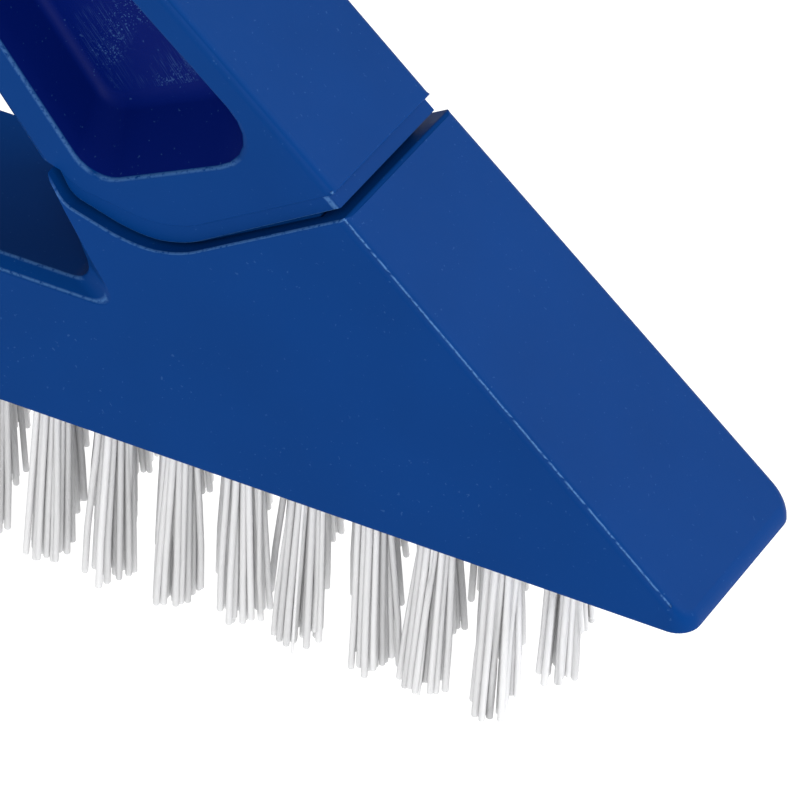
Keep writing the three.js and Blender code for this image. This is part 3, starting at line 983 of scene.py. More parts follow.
@dataclass
class BrushBase:
    """The moulded base: a horn at each end, a ledge between them and a hollow underside."""

    finishes: Finishes
    slope: Slope = field(default_factory=Slope)
    depth: float = 26.0
    draft: float = math.radians(1.2)
    ledge: float = 18.5
    wall: float = 3.2
    clearance: float = 0.3
    seat_outer: float = 81.7
    seat_low: Corner = Corner(61.2, 26.5, 3.0)
    seat_flat: Corner = Corner(55.5, 26.35, 2.5)
    seat_turn: Corner = Corner(47.7, 28.55, 1.2)
    seat_inner: Corner = Corner(45.6, 31.8)
    flank_foot: Corner = Corner(51.1, 18.5, 3.0)
    mouth_foot: Corner = Corner(57.97, 16.12, 4.0)
    mouth_levels: tuple = ((-10.85, 0.0), (-11.03, 0.0125), (-11.19, 0.046), (-11.34, 0.1), (-12.32, 0.465),
                           (-12.47, 0.54), (-12.6, 0.615), (-13.6, 1.5))
    mouth_rear: float = 12.3
    nose_corner: float = 2.7
    crown: float = 0.32
    crown_steps: int = 7
    rim_rounding: float = 0.26
    foot_rounding: float = 0.13
    plate_length: float = 218.4
    plate_depth: float = 20.4
    socket: tuple = (Corner(48.2, 50), Corner(48.2, 32.2), Corner(55.7, 20.2, 0.8), Corner(72.2, 20.2, 0.8),
                     Corner(78, 30.9), Corner(78, 50))
    tongue_thickness: float = 19.6
    plate_screws: tuple = (12.0, 28.0)
    frame_screw: float = 64.0
    screw_radius: float = 1.75
    head_radius: float = 3.3
    screw_seat: float = 17.3

    def front(self, z: float) -> float:
        """Depth of the drafted front face at a height."""
        return -self.depth / 2 + z * math.tan(self.draft)

    def build(self) -> bpy.types.Object:
        """Models the right half, mirrors it and seats it."""
        work = self._half_body()
        self._round(work)
        self._cut_window(work)
        self._hollow(work)
        self._crown(work)
        self.slope.add_bead(work, 0.0, self.front, seed=3)
        work.mirrored()
        # pale edge marks: scuffs, and painted highlights
        work.mark("wear", self._scuff_and_highlight)
        return work.dress(self.finishes.blue, "blue_plastic", "brush", "brush_base")

    def _half_body(self) -> Workpiece:
        """The right half as a slab, drafted front and rear, with its nose corners rounded."""
        slope = self.slope
        spare = 1.0
        work = Workpiece.traced("base_body", [
            Corner(0, 0),
            Corner(slope.half, 0),
            Corner(slope.half, slope.nose),
            Corner(self.seat_outer, slope.height(self.seat_outer)),
            self.seat_low,
            self.seat_flat,
            self.seat_turn,
            self.seat_inner,
            Corner(0, self.seat_inner.z),
        ], -self.depth / 2 - spare, self.depth / 2 + spare)
        for sign in (-1, 1):
            work.slice((0, sign * self.depth / 2, 0), (0, sign * math.cos(self.draft), math.sin(self.draft)))
        return work.round_edges(
            lambda a, b: min(a.x, b.x) > slope.half - NEAR and abs(a.z - b.z) > 1, self.nose_corner, 8)

    def _round(self, work: Workpiece) -> None:
        """Rounds the slope's edges widely, the nose less, and the horn's rim and the foot a little."""
        slope = self.slope
        corner = slope.half - self.nose_corner

        def is_side(p: Vector) -> bool:
            """Whether a point is on the front or rear face."""
            return abs(abs(p.y) + self.front(p.z)) < NEAR

        def is_seat(p: Vector) -> bool:
            """Whether a point is on the seat's rim."""
            return p.z > 20 and self.seat_inner.x - NEAR < p.x < self.seat_outer + NEAR

        def on_slope(p: Vector) -> bool:
            """Whether a point is on the outer slope."""
            return abs(p.z - slope.height(p.x)) < NEAR

        work.weigh(lambda a, b: on_slope(a) and on_slope(b)
                   and ((is_side(a) and is_side(b)) or min(a.x, b.x) > corner - 0.05), 1.0)
        work.weigh(lambda a, b: is_seat(a) and is_seat(b) and is_side(a) and is_side(b)
                   and a.y * b.y > 0 and (not on_slope(a) or not on_slope(b)), self.rim_rounding)
        work.weigh(lambda a, b: on_slope(a) and on_slope(b) and max(a.x, b.x) < self.seat_outer + NEAR, 0.3)
        work.weigh(lambda a, b: a.z < NEAR and b.z < NEAR and max(a.x, b.x) > NEAR, self.foot_rounding)
        work.soften(slope.rounding)

    def _cut_window(self, work: Workpiece) -> None:
        """Cuts the window above the ledge, with a bevel in front that fades out up the horn's flank."""
        inner, foot, wide = self.seat_inner, self.flank_foot, self.mouth_foot
        lean = (foot.x - inner.x) / (inner.z - foot.z)
        top, fade = inner.z + 6, inner.z - 0.9
        above = [*(Corner(inner.x - lean * (z - inner.z), z) for z in (fade, top)), Corner(-10, top)]
        narrow = [Corner(-10, foot.z), foot, *above]
        flared = [Corner(-10, wide.z), wide, *above]
        rear_flared = [Corner(-10, foot.z - 1), Corner(foot.x + 1.2, foot.z - 1, foot.reach), *above]
        tool = Workpiece.traced("window", narrow, self.mouth_levels[0][0], self.mouth_rear)
        shape, depth = narrow, self.mouth_levels[0][0]
        for level, share in self.mouth_levels[1:]:
            wider = blended(narrow, flared, share)
            tool.extrude_end(depth, level - depth).reshape(level, shape, wider)
            shape, depth = wider, level
        tool.extrude_end(self.mouth_rear, 1.0).reshape(self.mouth_rear + 1.0, narrow, rear_flared)
        work.combine(tool, Join.CUT)

    def _hollow(self, work: Workpiece) -> None:
        """Cuts the plate's recess, the tongue's socket and the screw holes."""
        slope, gap = self.slope, self.clearance
        ceiling = self.ledge - self.wall
        end = self.plate_length / 2 + gap
        width = self.plate_depth / 2 + gap
        work.combine(Workpiece.traced("recess", [
            Corner(-10, ceiling), Corner(81.5, ceiling), Corner(81.5, slope.height(84.5, self.wall)),
            Corner(84.5, slope.height(84.5, self.wall)), Corner(end, slope.height(end, self.wall)),
            Corner(end, -5), Corner(-10, -5)], -width, width), Join.CUT)
        width = self.tongue_thickness / 2 + gap
        foot = self.socket[2].z
        work.combine(Workpiece.traced("socket", self.socket, -width, width), Join.CUT)
        holes = [(x, ceiling - 1, self.ledge + 1) for x in self.plate_screws]
        holes.append((self.frame_screw, ceiling - 1, foot + 1))
        for x, low, high in holes:
            radius = self.screw_radius + gap
            work.drill(radius, (x, 0, low), (x, 0, high), 32)
        for x in self.plate_screws:
            work.drill(self.head_radius + gap, (x, 0, self.screw_seat), (x, 0, self.ledge + 1))

    def _crown(self, work: Workpiece) -> None:
        """Crowns the horn's flat slope a little across its width."""
        span = self.depth / 2 - self.slope.rounding - 0.6
        out = self.slope.outward()
        for i in range(1, self.crown_steps):
            y = span * (2 * i / self.crown_steps - 1)
            work.pick(Part.FACES, lambda p, n: n.dot(out) > 0.9995)
            work.slice((0, y, 0), (0, 1, 0), trim=False)
            rise = self.crown * (1 - (y / span) ** 2)
            work.pick(Part.POINTS, lambda p: abs(p.y - y) < NEAR
                      and abs(p.z - self.slope.height(p.x)) < NEAR and p.x > self.seat_outer)
            bpy.ops.transform.translate(value=out * rise * MM)
        work.rest()

    def _scuff_and_highlight(self, p: Vector) -> float:
        """How pale a point is painted: scuffs and a painted highlight on the front bead, painted highlight
        lines along the window's mouth and the seat's rim.
        """
        under = (self.slope.height(p.x) - p.z) * math.cos(self.slope.pitch)
        # the bead: scuffed, and paler still as a painted highlight
        if abs(p.x) > self.seat_outer - 1 and self.slope.on_crest(p.y - self.front(p.z), under, 0.08):
            return 1.0
        # painted highlight lines along the window mouth's chamfer edges
        if abs(p.x) < self.mouth_foot.x and self.mouth_foot.z < p.z < self.ledge + 0.1:
            share = 1.0 if abs(p.x) < 50 else 0.6
            inner, outer = self.mouth_levels[1:3], self.mouth_levels[5]
            if abs(p.y - outer[0]) < NEAR:
                return share
            return 0.5 * share if any(abs(p.y - level) < NEAR for level, _ in inner) else 0.0
        # painted highlight along the seat's rim
        if 46 < abs(p.x) < self.seat_outer and p.z > 26 and 0.02 < p.y - self.front(p.z) < 0.25:
            return 0.45
        return 0.0


@dataclass
class HandleFrame:
    """The upper frame: two pocketed arms with a collar and tongue at each foot, and the hub."""

    finishes: Finishes
    base: BrushBase
    proud: float = 0.3
    thickness: float = 22.4
    foot: tuple = (Corner(60.3, 28.7, 4), Corner(48.6, 30.3, 1.5), Corner(46.6, 31.8))
    inner_foot: Corner = Corner(44.2, 32.6)
    tongue: tuple = (Corner(53, 36), Corner(48.6, 32.4), Corner(55.9, 20.5, 1.0), Corner(72, 20.5, 1.0),
                     Corner(77.6, 31), Corner(77.6, 39), Corner(70, 42))
    collar_thickness: float = 21.8
    collar_sink: float = 0.75
    collar_gap: float = 0.35
    inner_pitch: float = math.radians(51)
    hub_side: float = 18.0
    arm_end: float = 12.0
    pocket_depth: float = 7.5
    lip: float = 0.42
    pocket: tuple = (Corner(27, 79.5, 4.5), Corner(27, 60.5, 3.5), Corner(50.5, 31.7, 3.6),
                     Corner(72.3, 42.3, 7.5))
    pocket_floor: tuple = (Corner(27.8, 77.81, 5.0), Corner(27.8, 62.37, 3.0), Corner(48.53, 36.97, 2.5),
                           Corner(66.75, 45.83, 6.0))
    hub_radius: float = 20.0
    hub_bottom: float = 62.0
    hub_top: float = 102.0
    socket_floor: float = 70.0
    stem_radius: float = 14.25
    bolt_height: float = 84.0
    bolt_radius: float = 2.5
    boss_radius: float = 7.0
    boss_reach: float = 20.5

    def build(self) -> bpy.types.Object:
        """Models the right half of the hub with its arm, cuts the bores and mirrors it."""
        work = self._hub()
        work.combine(self._arm(), Join.ADD)
        gap = self.base.clearance
        work.drill(self.stem_radius + gap, (0, 0, self.socket_floor), (0, 0, self.hub_top + 5), 96)
        reach = self.boss_reach + 5
        work.drill(self.bolt_radius + gap, (0, -reach, self.bolt_height), (0, reach, self.bolt_height))
        work.obj.name = "frame_body"
        work.slice((0, 0, 0), (-1, 0, 0))
        self.base.slope.add_bead(work, -self.proud, lambda z: -self.thickness / 2, seed=8)
        work.mirrored()
        # pale edge marks: scuffs, and painted highlights
        work.mark("wear", self._scuff_and_highlight, broadest=60.0)
        self._mark_pockets(work)
        return work.dress(self.finishes.blue, "blue_plastic", "brush", "handle_frame")

    def _outer(self, x: float) -> float:
        """Height of the arm's outer face."""
        return self.base.slope.height(x, -self.proud)

    def _arm(self) -> Workpiece:
        """The right arm with its pockets, collar and tongue."""
        base, slope = self.base, self.base.slope
        half = self.thickness / 2
        foot_x, foot_z = self.inner_foot.x, self.inner_foot.z
        inner = foot_z + (foot_x - self.hub_side) * math.tan(self.inner_pitch)
        work = Workpiece.traced("arm_right", [
            Corner(self.arm_end, self._outer(self.arm_end)),
            Corner(79.9, self._outer(79.9)),
            *self.foot,
            self.inner_foot,
            Corner(self.hub_side, inner, 4),
            Corner(self.arm_end, inner + 2),
        ], -half, half)

        def flank(p: Vector) -> bool:
            """Whether a point is on the arm's inner face."""
            return abs(p.z - foot_z - (foot_x - p.x) * math.tan(self.inner_pitch)) < NEAR

        def same_side(a: Vector, b: Vector) -> bool:
            """Whether both ends of an edge are on the front face, or both on the rear one."""
            return abs(a.y - b.y) < NEAR

        work.weigh(lambda a, b: slope.along(a, b, -self.proud) and same_side(a, b), 1.0)
        work.weigh(lambda a, b: flank(a) and flank(b) and same_side(a, b), 0.55)
        work.weigh(lambda a, b: same_side(a, b) and max(a.z, b.z) < 45.5 and max(a.x, b.x) < 79.9 + NEAR
                   and not slope.along(a, b, -self.proud) and not (flank(a) and flank(b)), 0.14)
        work.weigh(lambda a, b: min(a.x, b.x) > 79.9 - NEAR, 0.3)
        work.soften(slope.rounding)
        collar = Workpiece.traced("collar", [
            Corner(50, 38),
            Corner(base.seat_inner.x + 0.3, base.seat_inner.z + 0.7),
            Corner(base.seat_turn.x + 0.2, base.seat_turn.z + self.collar_gap + 0.05, 1.2),
            Corner(base.seat_flat.x, base.seat_flat.z + self.collar_gap, 2.5),
            Corner(base.seat_low.x - 0.1, base.seat_low.z + self.collar_gap, 3),
            Corner(80.4, slope.height(80.4, self.collar_sink)),
            Corner(76, slope.height(76, self.collar_sink)),
        ], -self.collar_thickness / 2, self.collar_thickness / 2)
        collar.weigh(lambda a, b: slope.along(a, b, self.collar_sink) and same_side(a, b), 0.8)
        collar.weigh(lambda a, b: same_side(a, b) and not slope.along(a, b, self.collar_sink), 0.15)
        collar.soften(slope.rounding)
        thick = base.tongue_thickness / 2
        work.combine(collar, Join.ADD)
        work.combine(Workpiece.traced("tongue", self.tongue, -thick, thick), Join.ADD)
        for sign in (-1, 1):
            self._cut_pocket(work, sign)
        return work

    def _cut_pocket(self, work: Workpiece, sign: int) -> None:
        """Cuts one pocket with drafted walls, a rounded floor edge and a rounded lip.

        Args:
            work: the arm.
            sign: -1 for the front pocket and 1 for the rear one.
        """
        face = sign * self.thickness / 2
        floor = face - sign * self.pocket_depth
        shape, depth = grown(self.pocket, self.lip), face
        tool = Workpiece.traced("pocket", shape, face + sign, face)
        for turn in (30, 60, 90):
            angle = math.radians(turn)
            deeper = face - sign * self.lip * (1 - math.cos(angle))
            narrower = grown(self.pocket, self.lip * (1 - math.sin(angle)))
            tool.extrude_end(depth, deeper - depth).reshape(deeper, shape, narrower)
            shape, depth = narrower, deeper
        tool.extrude_end(depth, floor - depth).reshape(floor, shape, self.pocket_floor)
        tool.round_rims("y", (floor,), 1.2, 4)
        work.combine(tool, Join.CUT)

    def _off_lip(self, p: Vector) -> float:
        """How far a point is from the pocket's straight sides, seen along Y."""
        spot = Vector((abs(p.x), p.z))
        sides = zip(self.pocket, self.pocket[1:] + self.pocket[:1])
        best = 1e9
        for first, second in sides:
            start, end = Vector((first.x, first.z)), Vector((second.x, second.z))
            share = max(0.0, min(1.0, (spot - start).dot(end - start) / (end - start).length_squared))
            best = min(best, (spot - start - (end - start) * share).length)
        return best

    def _hub(self) -> Workpiece:
        """The hub with rounded ends and a boss for the cross bolt, front and rear."""
        radius, low, high = self.hub_radius, self.hub_bottom, self.hub_top
        hub = Workpiece.rod("hub", radius, (0, 0, low), (0, 0, high), 96)
        hub.round_rims("z", (low,), 6.0, 8)
        hub.round_rims("z", (high,), 1.6, 4)
        reach = self.boss_reach
        boss = Workpiece.rod(
            "boss", self.boss_radius, (0, -reach, self.bolt_height), (0, reach, self.bolt_height), 64)
        boss.round_rims("y", (-reach, reach), 0.5)
        return hub.combine(boss, Join.ADD)

    def _mark_pockets(self, work: Workpiece) -> None:
        """Gives the pockets' walls and floors their own finishes, darker with painted shade."""
        for material in (self.finishes.blue, self.finishes.pocket_wall, self.finishes.pocket_floor):
            work.obj.data.materials.append(material)
        face, floor = self.thickness / 2, self.thickness / 2 - self.pocket_depth
        for polygon in work.obj.data.polygons:
            middle = reading(polygon.center)
            inside = floor - NEAR < abs(middle.y) < face - self.lip and self._in_pocket(middle)
            flat = abs(polygon.normal.y) > 0.9 and abs(abs(middle.y) - floor) < NEAR
            polygon.material_index = 2 if inside and flat else 1 if inside else 0

    def _in_pocket(self, p: Vector) -> bool:
        """Whether a point is within the pocket's outline, seen along Y."""
        spot = Vector((abs(p.x), p.z))
        rim = [Vector((c.x, c.z)) for c in grown(self.pocket, 0.1)]
        turns = [(b - a).cross(spot - a) for a, b in zip(rim, rim[1:] + rim[:1])]
        return min(turns) > 0 or max(turns) < 0

    def _scuff_and_highlight(self, p: Vector) -> float:
        """How pale a point is painted: scuffs and a painted highlight on the front bead, painted highlight
        lines on the pocket's lip and the collar's edge.
        """
        slope, face = self.base.slope, self.thickness / 2
        under = (slope.height(p.x, -self.proud) - p.z) * math.cos(slope.pitch)
        # the bead: scuffed, and paler still as a painted highlight
        if slope.on_crest(p.y + face, under, 0.08) and p.z < 96:
            return 1.0
        # painted highlight along the pocket's lip
        if abs(p.x) > 25 and face - 0.3 < abs(p.y) < face - 0.03 and self._off_lip(p) < 0.5 and under > 6.5:
            return 0.45
        edge = self.collar_thickness / 2
        # painted highlight along the collar's lower edge
        if 26.5 < p.z < 40 and edge - 0.16 < abs(p.y) < edge - 0.01 and not self._in_pocket(p):
            return 0.6
        return 0.0


# ---- Tufts and their plate ----


@dataclass
class Tufts:
    """Three staggered rows of filament tufts."""

    finishes: Finishes
    pitch: float = 8.0
    spacing: float = 7.4
    outer_count: int = 26
    middle_count: int = 27
    length: float = 22.0
    root: float = 7.0
    filament_radius: float = 0.4
    filaments: int = 25
    root_radius: float = 1.88
    lean: float = 0.5
    splay: float = 1.6
    fan: tuple = (0.25, 0.55)
    spread: tuple = (0.8, 1.2)
    stray: float = 0.45
    stray_share: float = 0.015
    bows: tuple = (0.0, 0.25, 0.5, 0.8)
    rings: tuple = (-5.0, -10.0, -16.0)
    seed: int = 17

    def places(self, count: int) -> list[float]:
        """Where a row's tufts stand along X."""
        return [(i - (count - 1) / 2) * self.pitch for i in range(count)]

    def rows(self) -> dict[str, tuple[float, int]]:
        """Each row's depth and number of tufts."""
        return {"front": (-self.spacing, self.outer_count), "middle": (0.0, self.middle_count),
                "rear": (self.spacing, self.outer_count)}

    def build(self) -> None:
        """Models the filament once and copies it into every tuft, row by row."""
        masters = [self._filament(bow) for bow in self.bows]
        dice = random.Random(self.seed)
        for name, (depth, count) in self.rows().items():
            strands = []
            for x in self.places(count):
                strands.extend(self._tuft(masters, x, depth, dice))
            row = Workpiece.joined(strands)
            row.obj.name = f"tufts_{name}"
            row.dress(self.finishes.filament, "white_filament", "brush", f"bristle_row_{name}", angle=70)
        for master in masters:
            bpy.data.objects.remove(master.obj)

    def _filament(self, bow: float) -> Workpiece:
        """A round filament with a rounded tip, which bows sideways on its way down.

        Args:
            bow: how far its tip is off the straight line.

        Returns:
            The filament, at x = 0 and y = 0.
        """
        low = -self.length
        rod = Workpiece.rod("filament", self.filament_radius, (0, 0, low), (0, 0, self.root), 8)
        rod.round_rims("z", (low,), self.filament_radius * 0.55, 2)
        for height in self.rings:
            rod.edit()
            bpy.ops.mesh.select_all(action="SELECT")
            rod.slice((0, 0, height), (0, 0, 1), trim=False)
        for height in self.rings:
            rod.pick(Part.POINTS, lambda p: p.z < height + NEAR)
            bpy.ops.transform.translate(value=(bow / len(self.rings) * MM, 0, 0))
        return rod.rest()

    def _tuft(self, masters: list[Workpiece], x: float, y: float,
              dice: random.Random) -> list[bpy.types.Object]:
        """Copies the filaments into one tuft that spreads towards its tips.

        Args:
            masters: filaments with different bows.
            x: the tuft's place along the brush.
            y: its row's depth.
            dice: the source of its unevenness.

        Returns:
            The filaments.
        """
        lean = Vector((dice.gauss(self.lean, 0.6), dice.gauss(self.splay * y / self.spacing, 0.4)))
        spread = dice.uniform(*self.spread)
        strands = []
        for i in range(self.filaments):
            ring = math.sqrt((i + 0.4) / self.filaments) * self.root_radius
            turn = i * math.pi * (3 - math.sqrt(5)) + dice.uniform(-0.15, 0.15)
            spot = Vector((math.cos(turn), math.sin(turn))) * ring
            tip = spot * spread * dice.uniform(*self.fan) + lean
            tip += Vector((dice.gauss(0, 0.2), dice.gauss(0, 0.2)))
            trim = max(0.08, min(2.0, abs(dice.gauss(0.0, 0.55))))
            master = dice.choice(masters)
            strand = master.obj.copy()
            strand.data = master.obj.data.copy()
            bpy.context.scene.collection.objects.link(strand)
            thin = self.stray if dice.random() < self.stray_share else dice.uniform(0.92, 1.05)
            sideways = Vector((tip.y, -tip.x, 0)).normalized()
            strand.matrix_world = (
                Matrix.Translation(place(x + spot.x, y + spot.y, 0))
                @ Matrix.Rotation(math.atan(tip.length / self.length), 4, sideways)
                @ Matrix.Diagonal((thin, thin, 1 - trim / self.length, 1))
                @ Matrix.Rotation(dice.uniform(0, math.tau), 4, "Z")
                @ Matrix.Translation(-place(0, 0, 0)))
            tone = strand.data.attributes.new("tone", "FLOAT", "POINT")
            value = min(1.0, max(0.0, dice.gauss(0.62, 0.2)))
            tone.data.foreach_set("value", [value] * len(strand.data.vertices))
            strands.append(strand)
        return strands


@dataclass
class BristlePlate:
    """The plate in the base's underside that holds the tufts in round holes."""

    finishes: Finishes
    base: BrushBase
    tufts: Tufts
    inset: float = 0.8
    top: float = 12.8
    hole_radius: float = 2.55
    hole_depth: float = 6.5
    screw_end: float = 8.3

    def build(self) -> bpy.types.Object:
        """Models the plate, drills its holes and rounds its edges."""
        base = self.base
        end = base.plate_length / 2
        shoulder = base.slope.height(end, base.wall) - base.clearance
        run = (self.top - shoulder) / math.tan(base.slope.pitch)
        corners = [Corner(end - run, self.top), Corner(end, shoulder), Corner(end, self.inset)]
        half = base.plate_depth / 2
        work = Workpiece.traced(
            "plate_body", corners + [c.flipped() for c in reversed(corners)], -half, half)
        work.round_rims("z", (self.inset,), 0.4, 2)
        drills = []
        for depth, count in self.tufts.rows().values():
            for x in self.tufts.places(count):
                drill = Workpiece.rod("drill", self.hole_radius, (x, depth, self.inset - 1),
                                      (x, depth, self.inset + self.hole_depth), 20)
                drills.append(drill.obj)
        for x in base.plate_screws:
            for sign in (-1, 1):
                drill = Workpiece.rod("drill", base.screw_radius + base.clearance,
                                      (sign * x, 0, self.screw_end - base.clearance), (sign * x, 0, 20), 20)
                drills.append(drill.obj)
        work.combine(Workpiece.joined(drills), Join.CUT)
        return work.dress(self.finishes.blue, "blue_plastic", "brush", "bristle_plate")


# ---- Stem, clip and fasteners ----


@dataclass
class Stem:
    """The aluminium tube that the pole slides over."""

    finishes: Finishes
    frame: HandleFrame
    wall: float = 2.7
    top: float = 168.0
    button_height: float = 138.2
    button_hole: float = 4.0

    def build(self) -> bpy.types.Object:
        """Spins the tube and drills it for the bolt and the buttons."""
        frame = self.frame
        outer, bore = frame.stem_radius, frame.stem_radius - self.wall
        foot, top = frame.socket_floor + frame.base.clearance, self.top
        work = Workpiece.turned("stem_tube", [
            (bore, foot + 0.4), (bore + 0.4, foot), (outer - 0.5, foot), (outer, foot + 0.5),
            (outer, top - 1.1), (outer - 0.15, top - 0.55), (outer - 0.5, top - 0.15), (outer - 1, top),
            (bore + 0.5, top), (bore + 0.15, top - 0.15), (bore, top - 0.5), (bore, foot + 0.4)], 96)
        reach = outer + 5
        gap = frame.base.clearance
        work.drill(frame.bolt_radius + gap, (0, -reach, frame.bolt_height), (0, reach, frame.bolt_height), 40)
        work.drill(self.button_hole, (-reach, 0, self.button_height), (reach, 0, self.button_height))
        return work.dress(self.finishes.aluminium, "satin_aluminium", "brush", "pole_stem")


@dataclass
class CrossBolt:
    """The hex bolt through the hub, with its nut and two washers."""

    finishes: Finishes
    frame: HandleFrame
    reach: float = 26.0
    head_radius: float = 4.6
    washer_radius: float = 5.5
    washer_thickness: float = 1.0
    nut_thickness: float = 3.6

    def build(self) -> None:
        """Models the bolt, the nut and both washers."""
        height, radius = self.frame.bolt_height, self.frame.bolt_radius
        seat = self.frame.boss_reach + self.washer_thickness
        bolt = Workpiece.rod("bolt_body", radius, (0, -seat - 1, height), (0, self.reach, height), 32)
        bolt.round_rims("y", (self.reach,), 0.5, 2)
        head = self._hexagon("head", -self.reach, -seat, outer_end=-self.reach)
        self._finish(bolt.combine(head, Join.ADD), "stem_bolt")
        nut = self._hexagon("nut_body", seat, seat + self.nut_thickness, outer_end=seat + self.nut_thickness)
        bore = radius + 0.15
        self._finish(nut.drill(bore, (0, seat - 1, height), (0, seat + 6, height), 40), "stem_nut")
        for name, near in (("front", -seat), ("rear", self.frame.boss_reach)):
            far = near + self.washer_thickness
            washer = Workpiece.rod(
                f"washer_{name}_body", self.washer_radius, (0, near, height), (0, far, height), 64)
            washer.round_rims("y", (near, far), 0.2, 2)
            washer.drill(bore, (0, near - 1, height), (0, far + 1, height), 40)
            self._finish(washer, f"stem_washer_{name}")

    def _hexagon(self, name: str, low: float, high: float, outer_end: float) -> Workpiece:
        """A hexagonal prism whose outer corners are turned off.

        Args:
            name: the object's name.
            low: one end along Y.
            high: the other end.
            outer_end: the end whose corners are turned off.

        Returns:
            The prism.
        """
        height = self.frame.bolt_height
        work = Workpiece.rod(name, self.head_radius, (0, low, height), (0, high, height), 6)
        work.round_rims("y", (outer_end,), 0.35, 2)
        return work.round_edges(lambda a, b: abs(a.y - b.y) > 0.5, 0.12, 2)

    def _finish(self, work: Workpiece, node: str) -> None:
        """Dresses one steel piece."""
        work.dress(self.finishes.steel, "stainless_steel", "brush", node, angle=35)


@dataclass
class Screws:
    """Pan-head cross-drive screws: four through the ledge, and one up through each horn's floor."""

    finishes: Finishes
    base: BrushBase
    head_height: float = 2.1
    plate_end: float = 8.3
    frame_end: float = 33.0

    def build(self) -> None:
        """Models one screw of each kind, copies it along the brush and dresses each copy."""
        base = self.base
        down = self._screw(base.screw_seat, self.plate_end, 1)
        for i, x in enumerate(sorted(s * x for x in base.plate_screws for s in (-1, 1))):
            copy = down.copied(f"ledge_screw_{i + 1}").moved(x=x)
            copy.dress(self.finishes.steel, "stainless_steel", "brush", f"plate_screw_{i + 1}", angle=35)
        up = self._screw(base.ledge - base.wall, self.frame_end, -1)
        for side in Side:
            name = side.name.lower()
            copy = up.copied(f"horn_screw_{name}").moved(x=side.value * base.frame_screw)
            copy.dress(self.finishes.steel, "stainless_steel", "brush", f"frame_screw_{name}", angle=35)
        for master in (down, up):
            bpy.data.objects.remove(master.obj)

    def _screw(self, seat: float, end: float, direction: int) -> Workpiece:
        """A screw at x = 0.

        Args:
            seat: height of the face under its head.
            end: height of its tip.
            direction: 1 when the head is on top.

        Returns:
            The screw.
        """
        base = self.base
        top = seat + direction * self.head_height
        work = Workpiece.rod("screw", base.head_radius, (0, 0, seat), (0, 0, top), 48)
        work.round_rims("z", (top,), 1.1, 5)
        shank = Workpiece.rod("shank", base.screw_radius, (0, 0, seat + direction), (0, 0, end), 20)
        shank.round_rims("z", (end,), 0.7, 1)
        work.combine(shank, Join.ADD)
        for size in ((1.9, 0.45), (0.45, 1.9)):
            slot = Workpiece.traced("drive", [
                Corner(-size[0], top - direction * 1.2), Corner(size[0], top - direction * 1.2),
                Corner(size[0], top + direction), Corner(-size[0], top + direction)], -size[1], size[1])
            work.combine(slot, Join.CUT)
        return work


@dataclass
class SpringClip:
    """The V spring inside the stem and its two buttons."""

    finishes: Finishes
    frame: HandleFrame
    width: float = 9.0
    thickness: float = 1.0
    bow_radius: float = 1.9
    bow_height: float = 89.2
    leg_top_x: float = 9.5
    leg_bend: float = 130.0
    leg_top: float = 143.0
    button_height: float = 137.6
    button_radius: float = 3.1
    button_proud: float = 4.5

    def build(self) -> None:
        """Models the bow, and one leg and one button that are mirrored to the other side."""
        self._bow()
        leg, button = self._leg(), self._button()
        for side in Side:
            name = side.name.lower()
            for master, part in ((leg, "leg"), (button, "button")):
                label = f"spring_{part}_{name}"
                copy = master.copied(label) if side is Side.RIGHT else master.flipped(label)
                copy.dress(self.finishes.spring, "spring_steel", f"clip_{name}", f"clip_{part}_{name}")
        for master in (leg, button):
            bpy.data.objects.remove(master.obj)

    def _bow(self) -> None:
        """The half turn at the foot of the clip."""
        half, t = self.width / 2, self.thickness / 2
        height = self.bow_height
        bow = Workpiece.rod("spring_bow", self.bow_radius + t, (0, -half, height), (0, half, height), 48)
        bow.combine(Workpiece.rod(
            "inner", self.bow_radius - t, (0, -half - 1, height), (0, half + 1, height), 48), Join.CUT)
        bow.slice((0, 0, height), (0, 0, 1))
        bow.round_edges(lambda a, b: abs(abs(a.y) - half) < NEAR and abs(a.y - b.y) < NEAR
                        and a.z < height - NEAR, 0.12, 2)
        bow.dress(self.finishes.spring, "spring_steel", "brush", "clip_bow")

    def _leg(self) -> Workpiece:
        """The right leg, which leans out and then stands upright behind the stem's wall."""
        t, half, foot = self.thickness / 2, self.width / 2, self.bow_height + 0.5
        leg = Workpiece.traced("leg", [
            Corner(self.bow_radius - t, foot), Corner(self.bow_radius + t, foot),
            Corner(self.leg_top_x + t, self.leg_bend, 2.5), Corner(self.leg_top_x + t, self.leg_top),
            Corner(self.leg_top_x - t, self.leg_top), Corner(self.leg_top_x - t, self.leg_bend, 2.5)],
            -half, half)
        leg.round_edges(lambda a, b: abs(a.x - b.x) > 0.9 and min(a.z, b.z) > self.leg_top - NEAR, 0.2, 2)
        return leg

    def _button(self) -> Workpiece:
        """The right button: a short pin with a domed end."""
        foot = self.leg_top_x + self.thickness / 2 + 0.05
        tip = self.frame.stem_radius + self.button_proud
        height = self.button_height
        button = Workpiece.rod("button", self.button_radius, (foot, 0, height), (tip, 0, height), 48)
        return button.round_rims("x", (tip,), 1.5, 6)


# ---- Studio ----


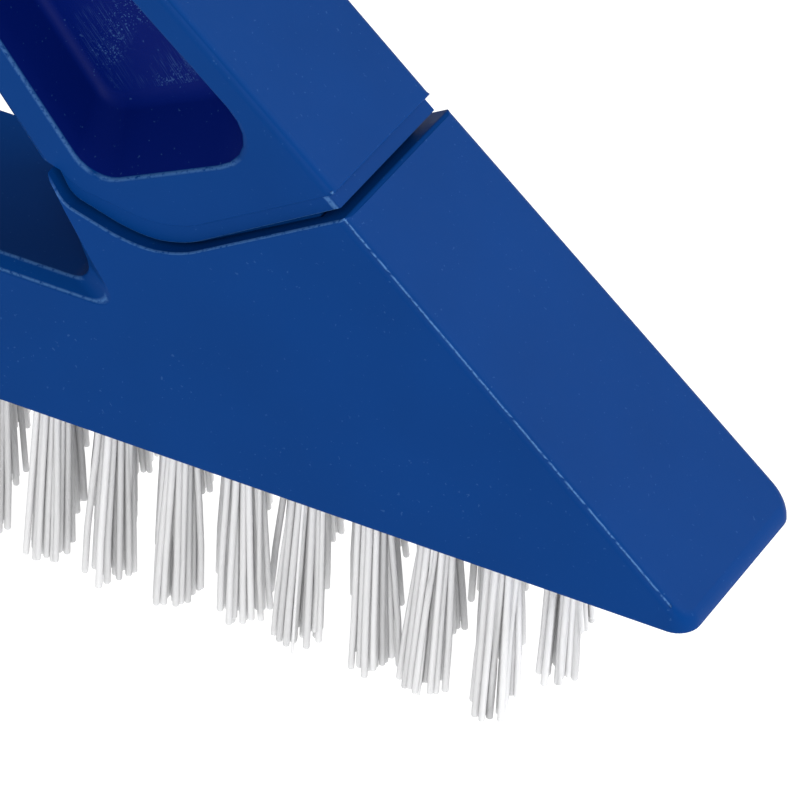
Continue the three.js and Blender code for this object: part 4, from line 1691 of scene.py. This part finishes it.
@dataclass
class Studio:
    """A plain pale floor, a white surround, soft panels and the camera."""

    azimuth: float = math.radians(26.541)
    elevation: float = math.radians(36.361)
    roll: float = math.radians(2.389)
    distance: float = 900.0
    lens: float = 376.88
    across: float = -36.8
    up: float = 18.88
    floor_size: float = 14.0
    surround: float = 0.3
    panels: tuple = (("key_panel", (1.5, 0.35, 1.1), 23.0), ("back_panel", (1.06, 1.44, 0.9), 10.0),
                     ("front_panel", (0.7, -1.6, 0.7), 22.0))
    panel_size: float = 1.2

    def build(self) -> None:
        """Makes the camera, the floor and the light."""
        self._camera()
        self._floor()
        self._light()
        bpy.context.scene.view_settings.view_transform = "Standard"

    def _camera(self) -> None:
        """A long lens on the right-hand horn, from the front right and above."""
        a, e = self.azimuth, self.elevation
        back = Vector((math.sin(a) * math.cos(e), -math.cos(a) * math.cos(e), math.sin(e)))
        level = Vector((math.cos(a), math.sin(a), 0))
        upright = back.cross(level)
        right = level * math.cos(self.roll) + upright * math.sin(self.roll)
        upward = upright * math.cos(self.roll) - level * math.sin(self.roll)
        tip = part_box("brush_base")[1].x
        aim = Vector((tip, 0, FOOT * MM)) + (right * self.across + upward * self.up) * MM
        data = bpy.data.cameras.new("camera")
        data.lens = self.lens
        data.sensor_width = 36
        data.clip_start, data.clip_end = 0.01, 100
        camera = bpy.data.objects.new("camera", data)
        bpy.context.scene.collection.objects.link(camera)
        turn = Matrix((right, upward, back)).transposed().to_4x4()
        camera.matrix_world = Matrix.Translation(aim + back * self.distance * MM) @ turn
        bpy.context.scene.camera = camera

    def _floor(self) -> None:
        """A wide pale floor under the tufts' tips."""
        clear_bench()
        bpy.ops.mesh.primitive_plane_add(size=self.floor_size, location=(0, 0, 0))
        floor = bpy.context.object
        floor.name = "floor"
        graph = Graph("pale_floor")
        floor.data.materials.append(graph.surface(
            Base_Color=(0.3, 0.3, 0.3, 1), Roughness=0.9, Specular_IOR_Level=0.0,
            Emission_Color=(1, 1, 1, 1), Emission_Strength=1.0))

    def _light(self) -> None:
        """An even white surround and three soft panels."""
        world = bpy.data.worlds.new("surround")
        bpy.context.scene.world = world
        world.use_nodes = True
        background = world.node_tree.nodes["Background"]
        background.inputs["Color"].default_value = (1, 1, 1, 1)
        background.inputs["Strength"].default_value = self.surround
        target = Vector((0.08, 0, 0.04))
        for name, location, watts in self.panels:
            data = bpy.data.lights.new(name, "AREA")
            data.size = self.panel_size
            data.energy = watts
            panel = bpy.data.objects.new(name, data)
            bpy.context.scene.collection.objects.link(panel)
            panel.location = location
            panel.rotation_euler = (Vector(location) - target).to_track_quat("Z", "Y").to_euler()


def main() -> None:
    """Builds the studio and every sub-assembly."""
    logging.basicConfig(level=logging.INFO, format="%(name)s: %(message)s")
    Studio().build()
    finishes = Finishes()
    base = BrushBase(finishes)
    handle = HandleFrame(finishes, base)
    tufts = Tufts(finishes)
    base.build()
    handle.build()
    tufts.build()
    BristlePlate(finishes, base, tufts).build()
    Stem(finishes, handle).build()
    CrossBolt(finishes, handle).build()
    Screws(finishes, base).build()
    SpringClip(finishes, handle).build()


if __name__ == "__main__":
    main()
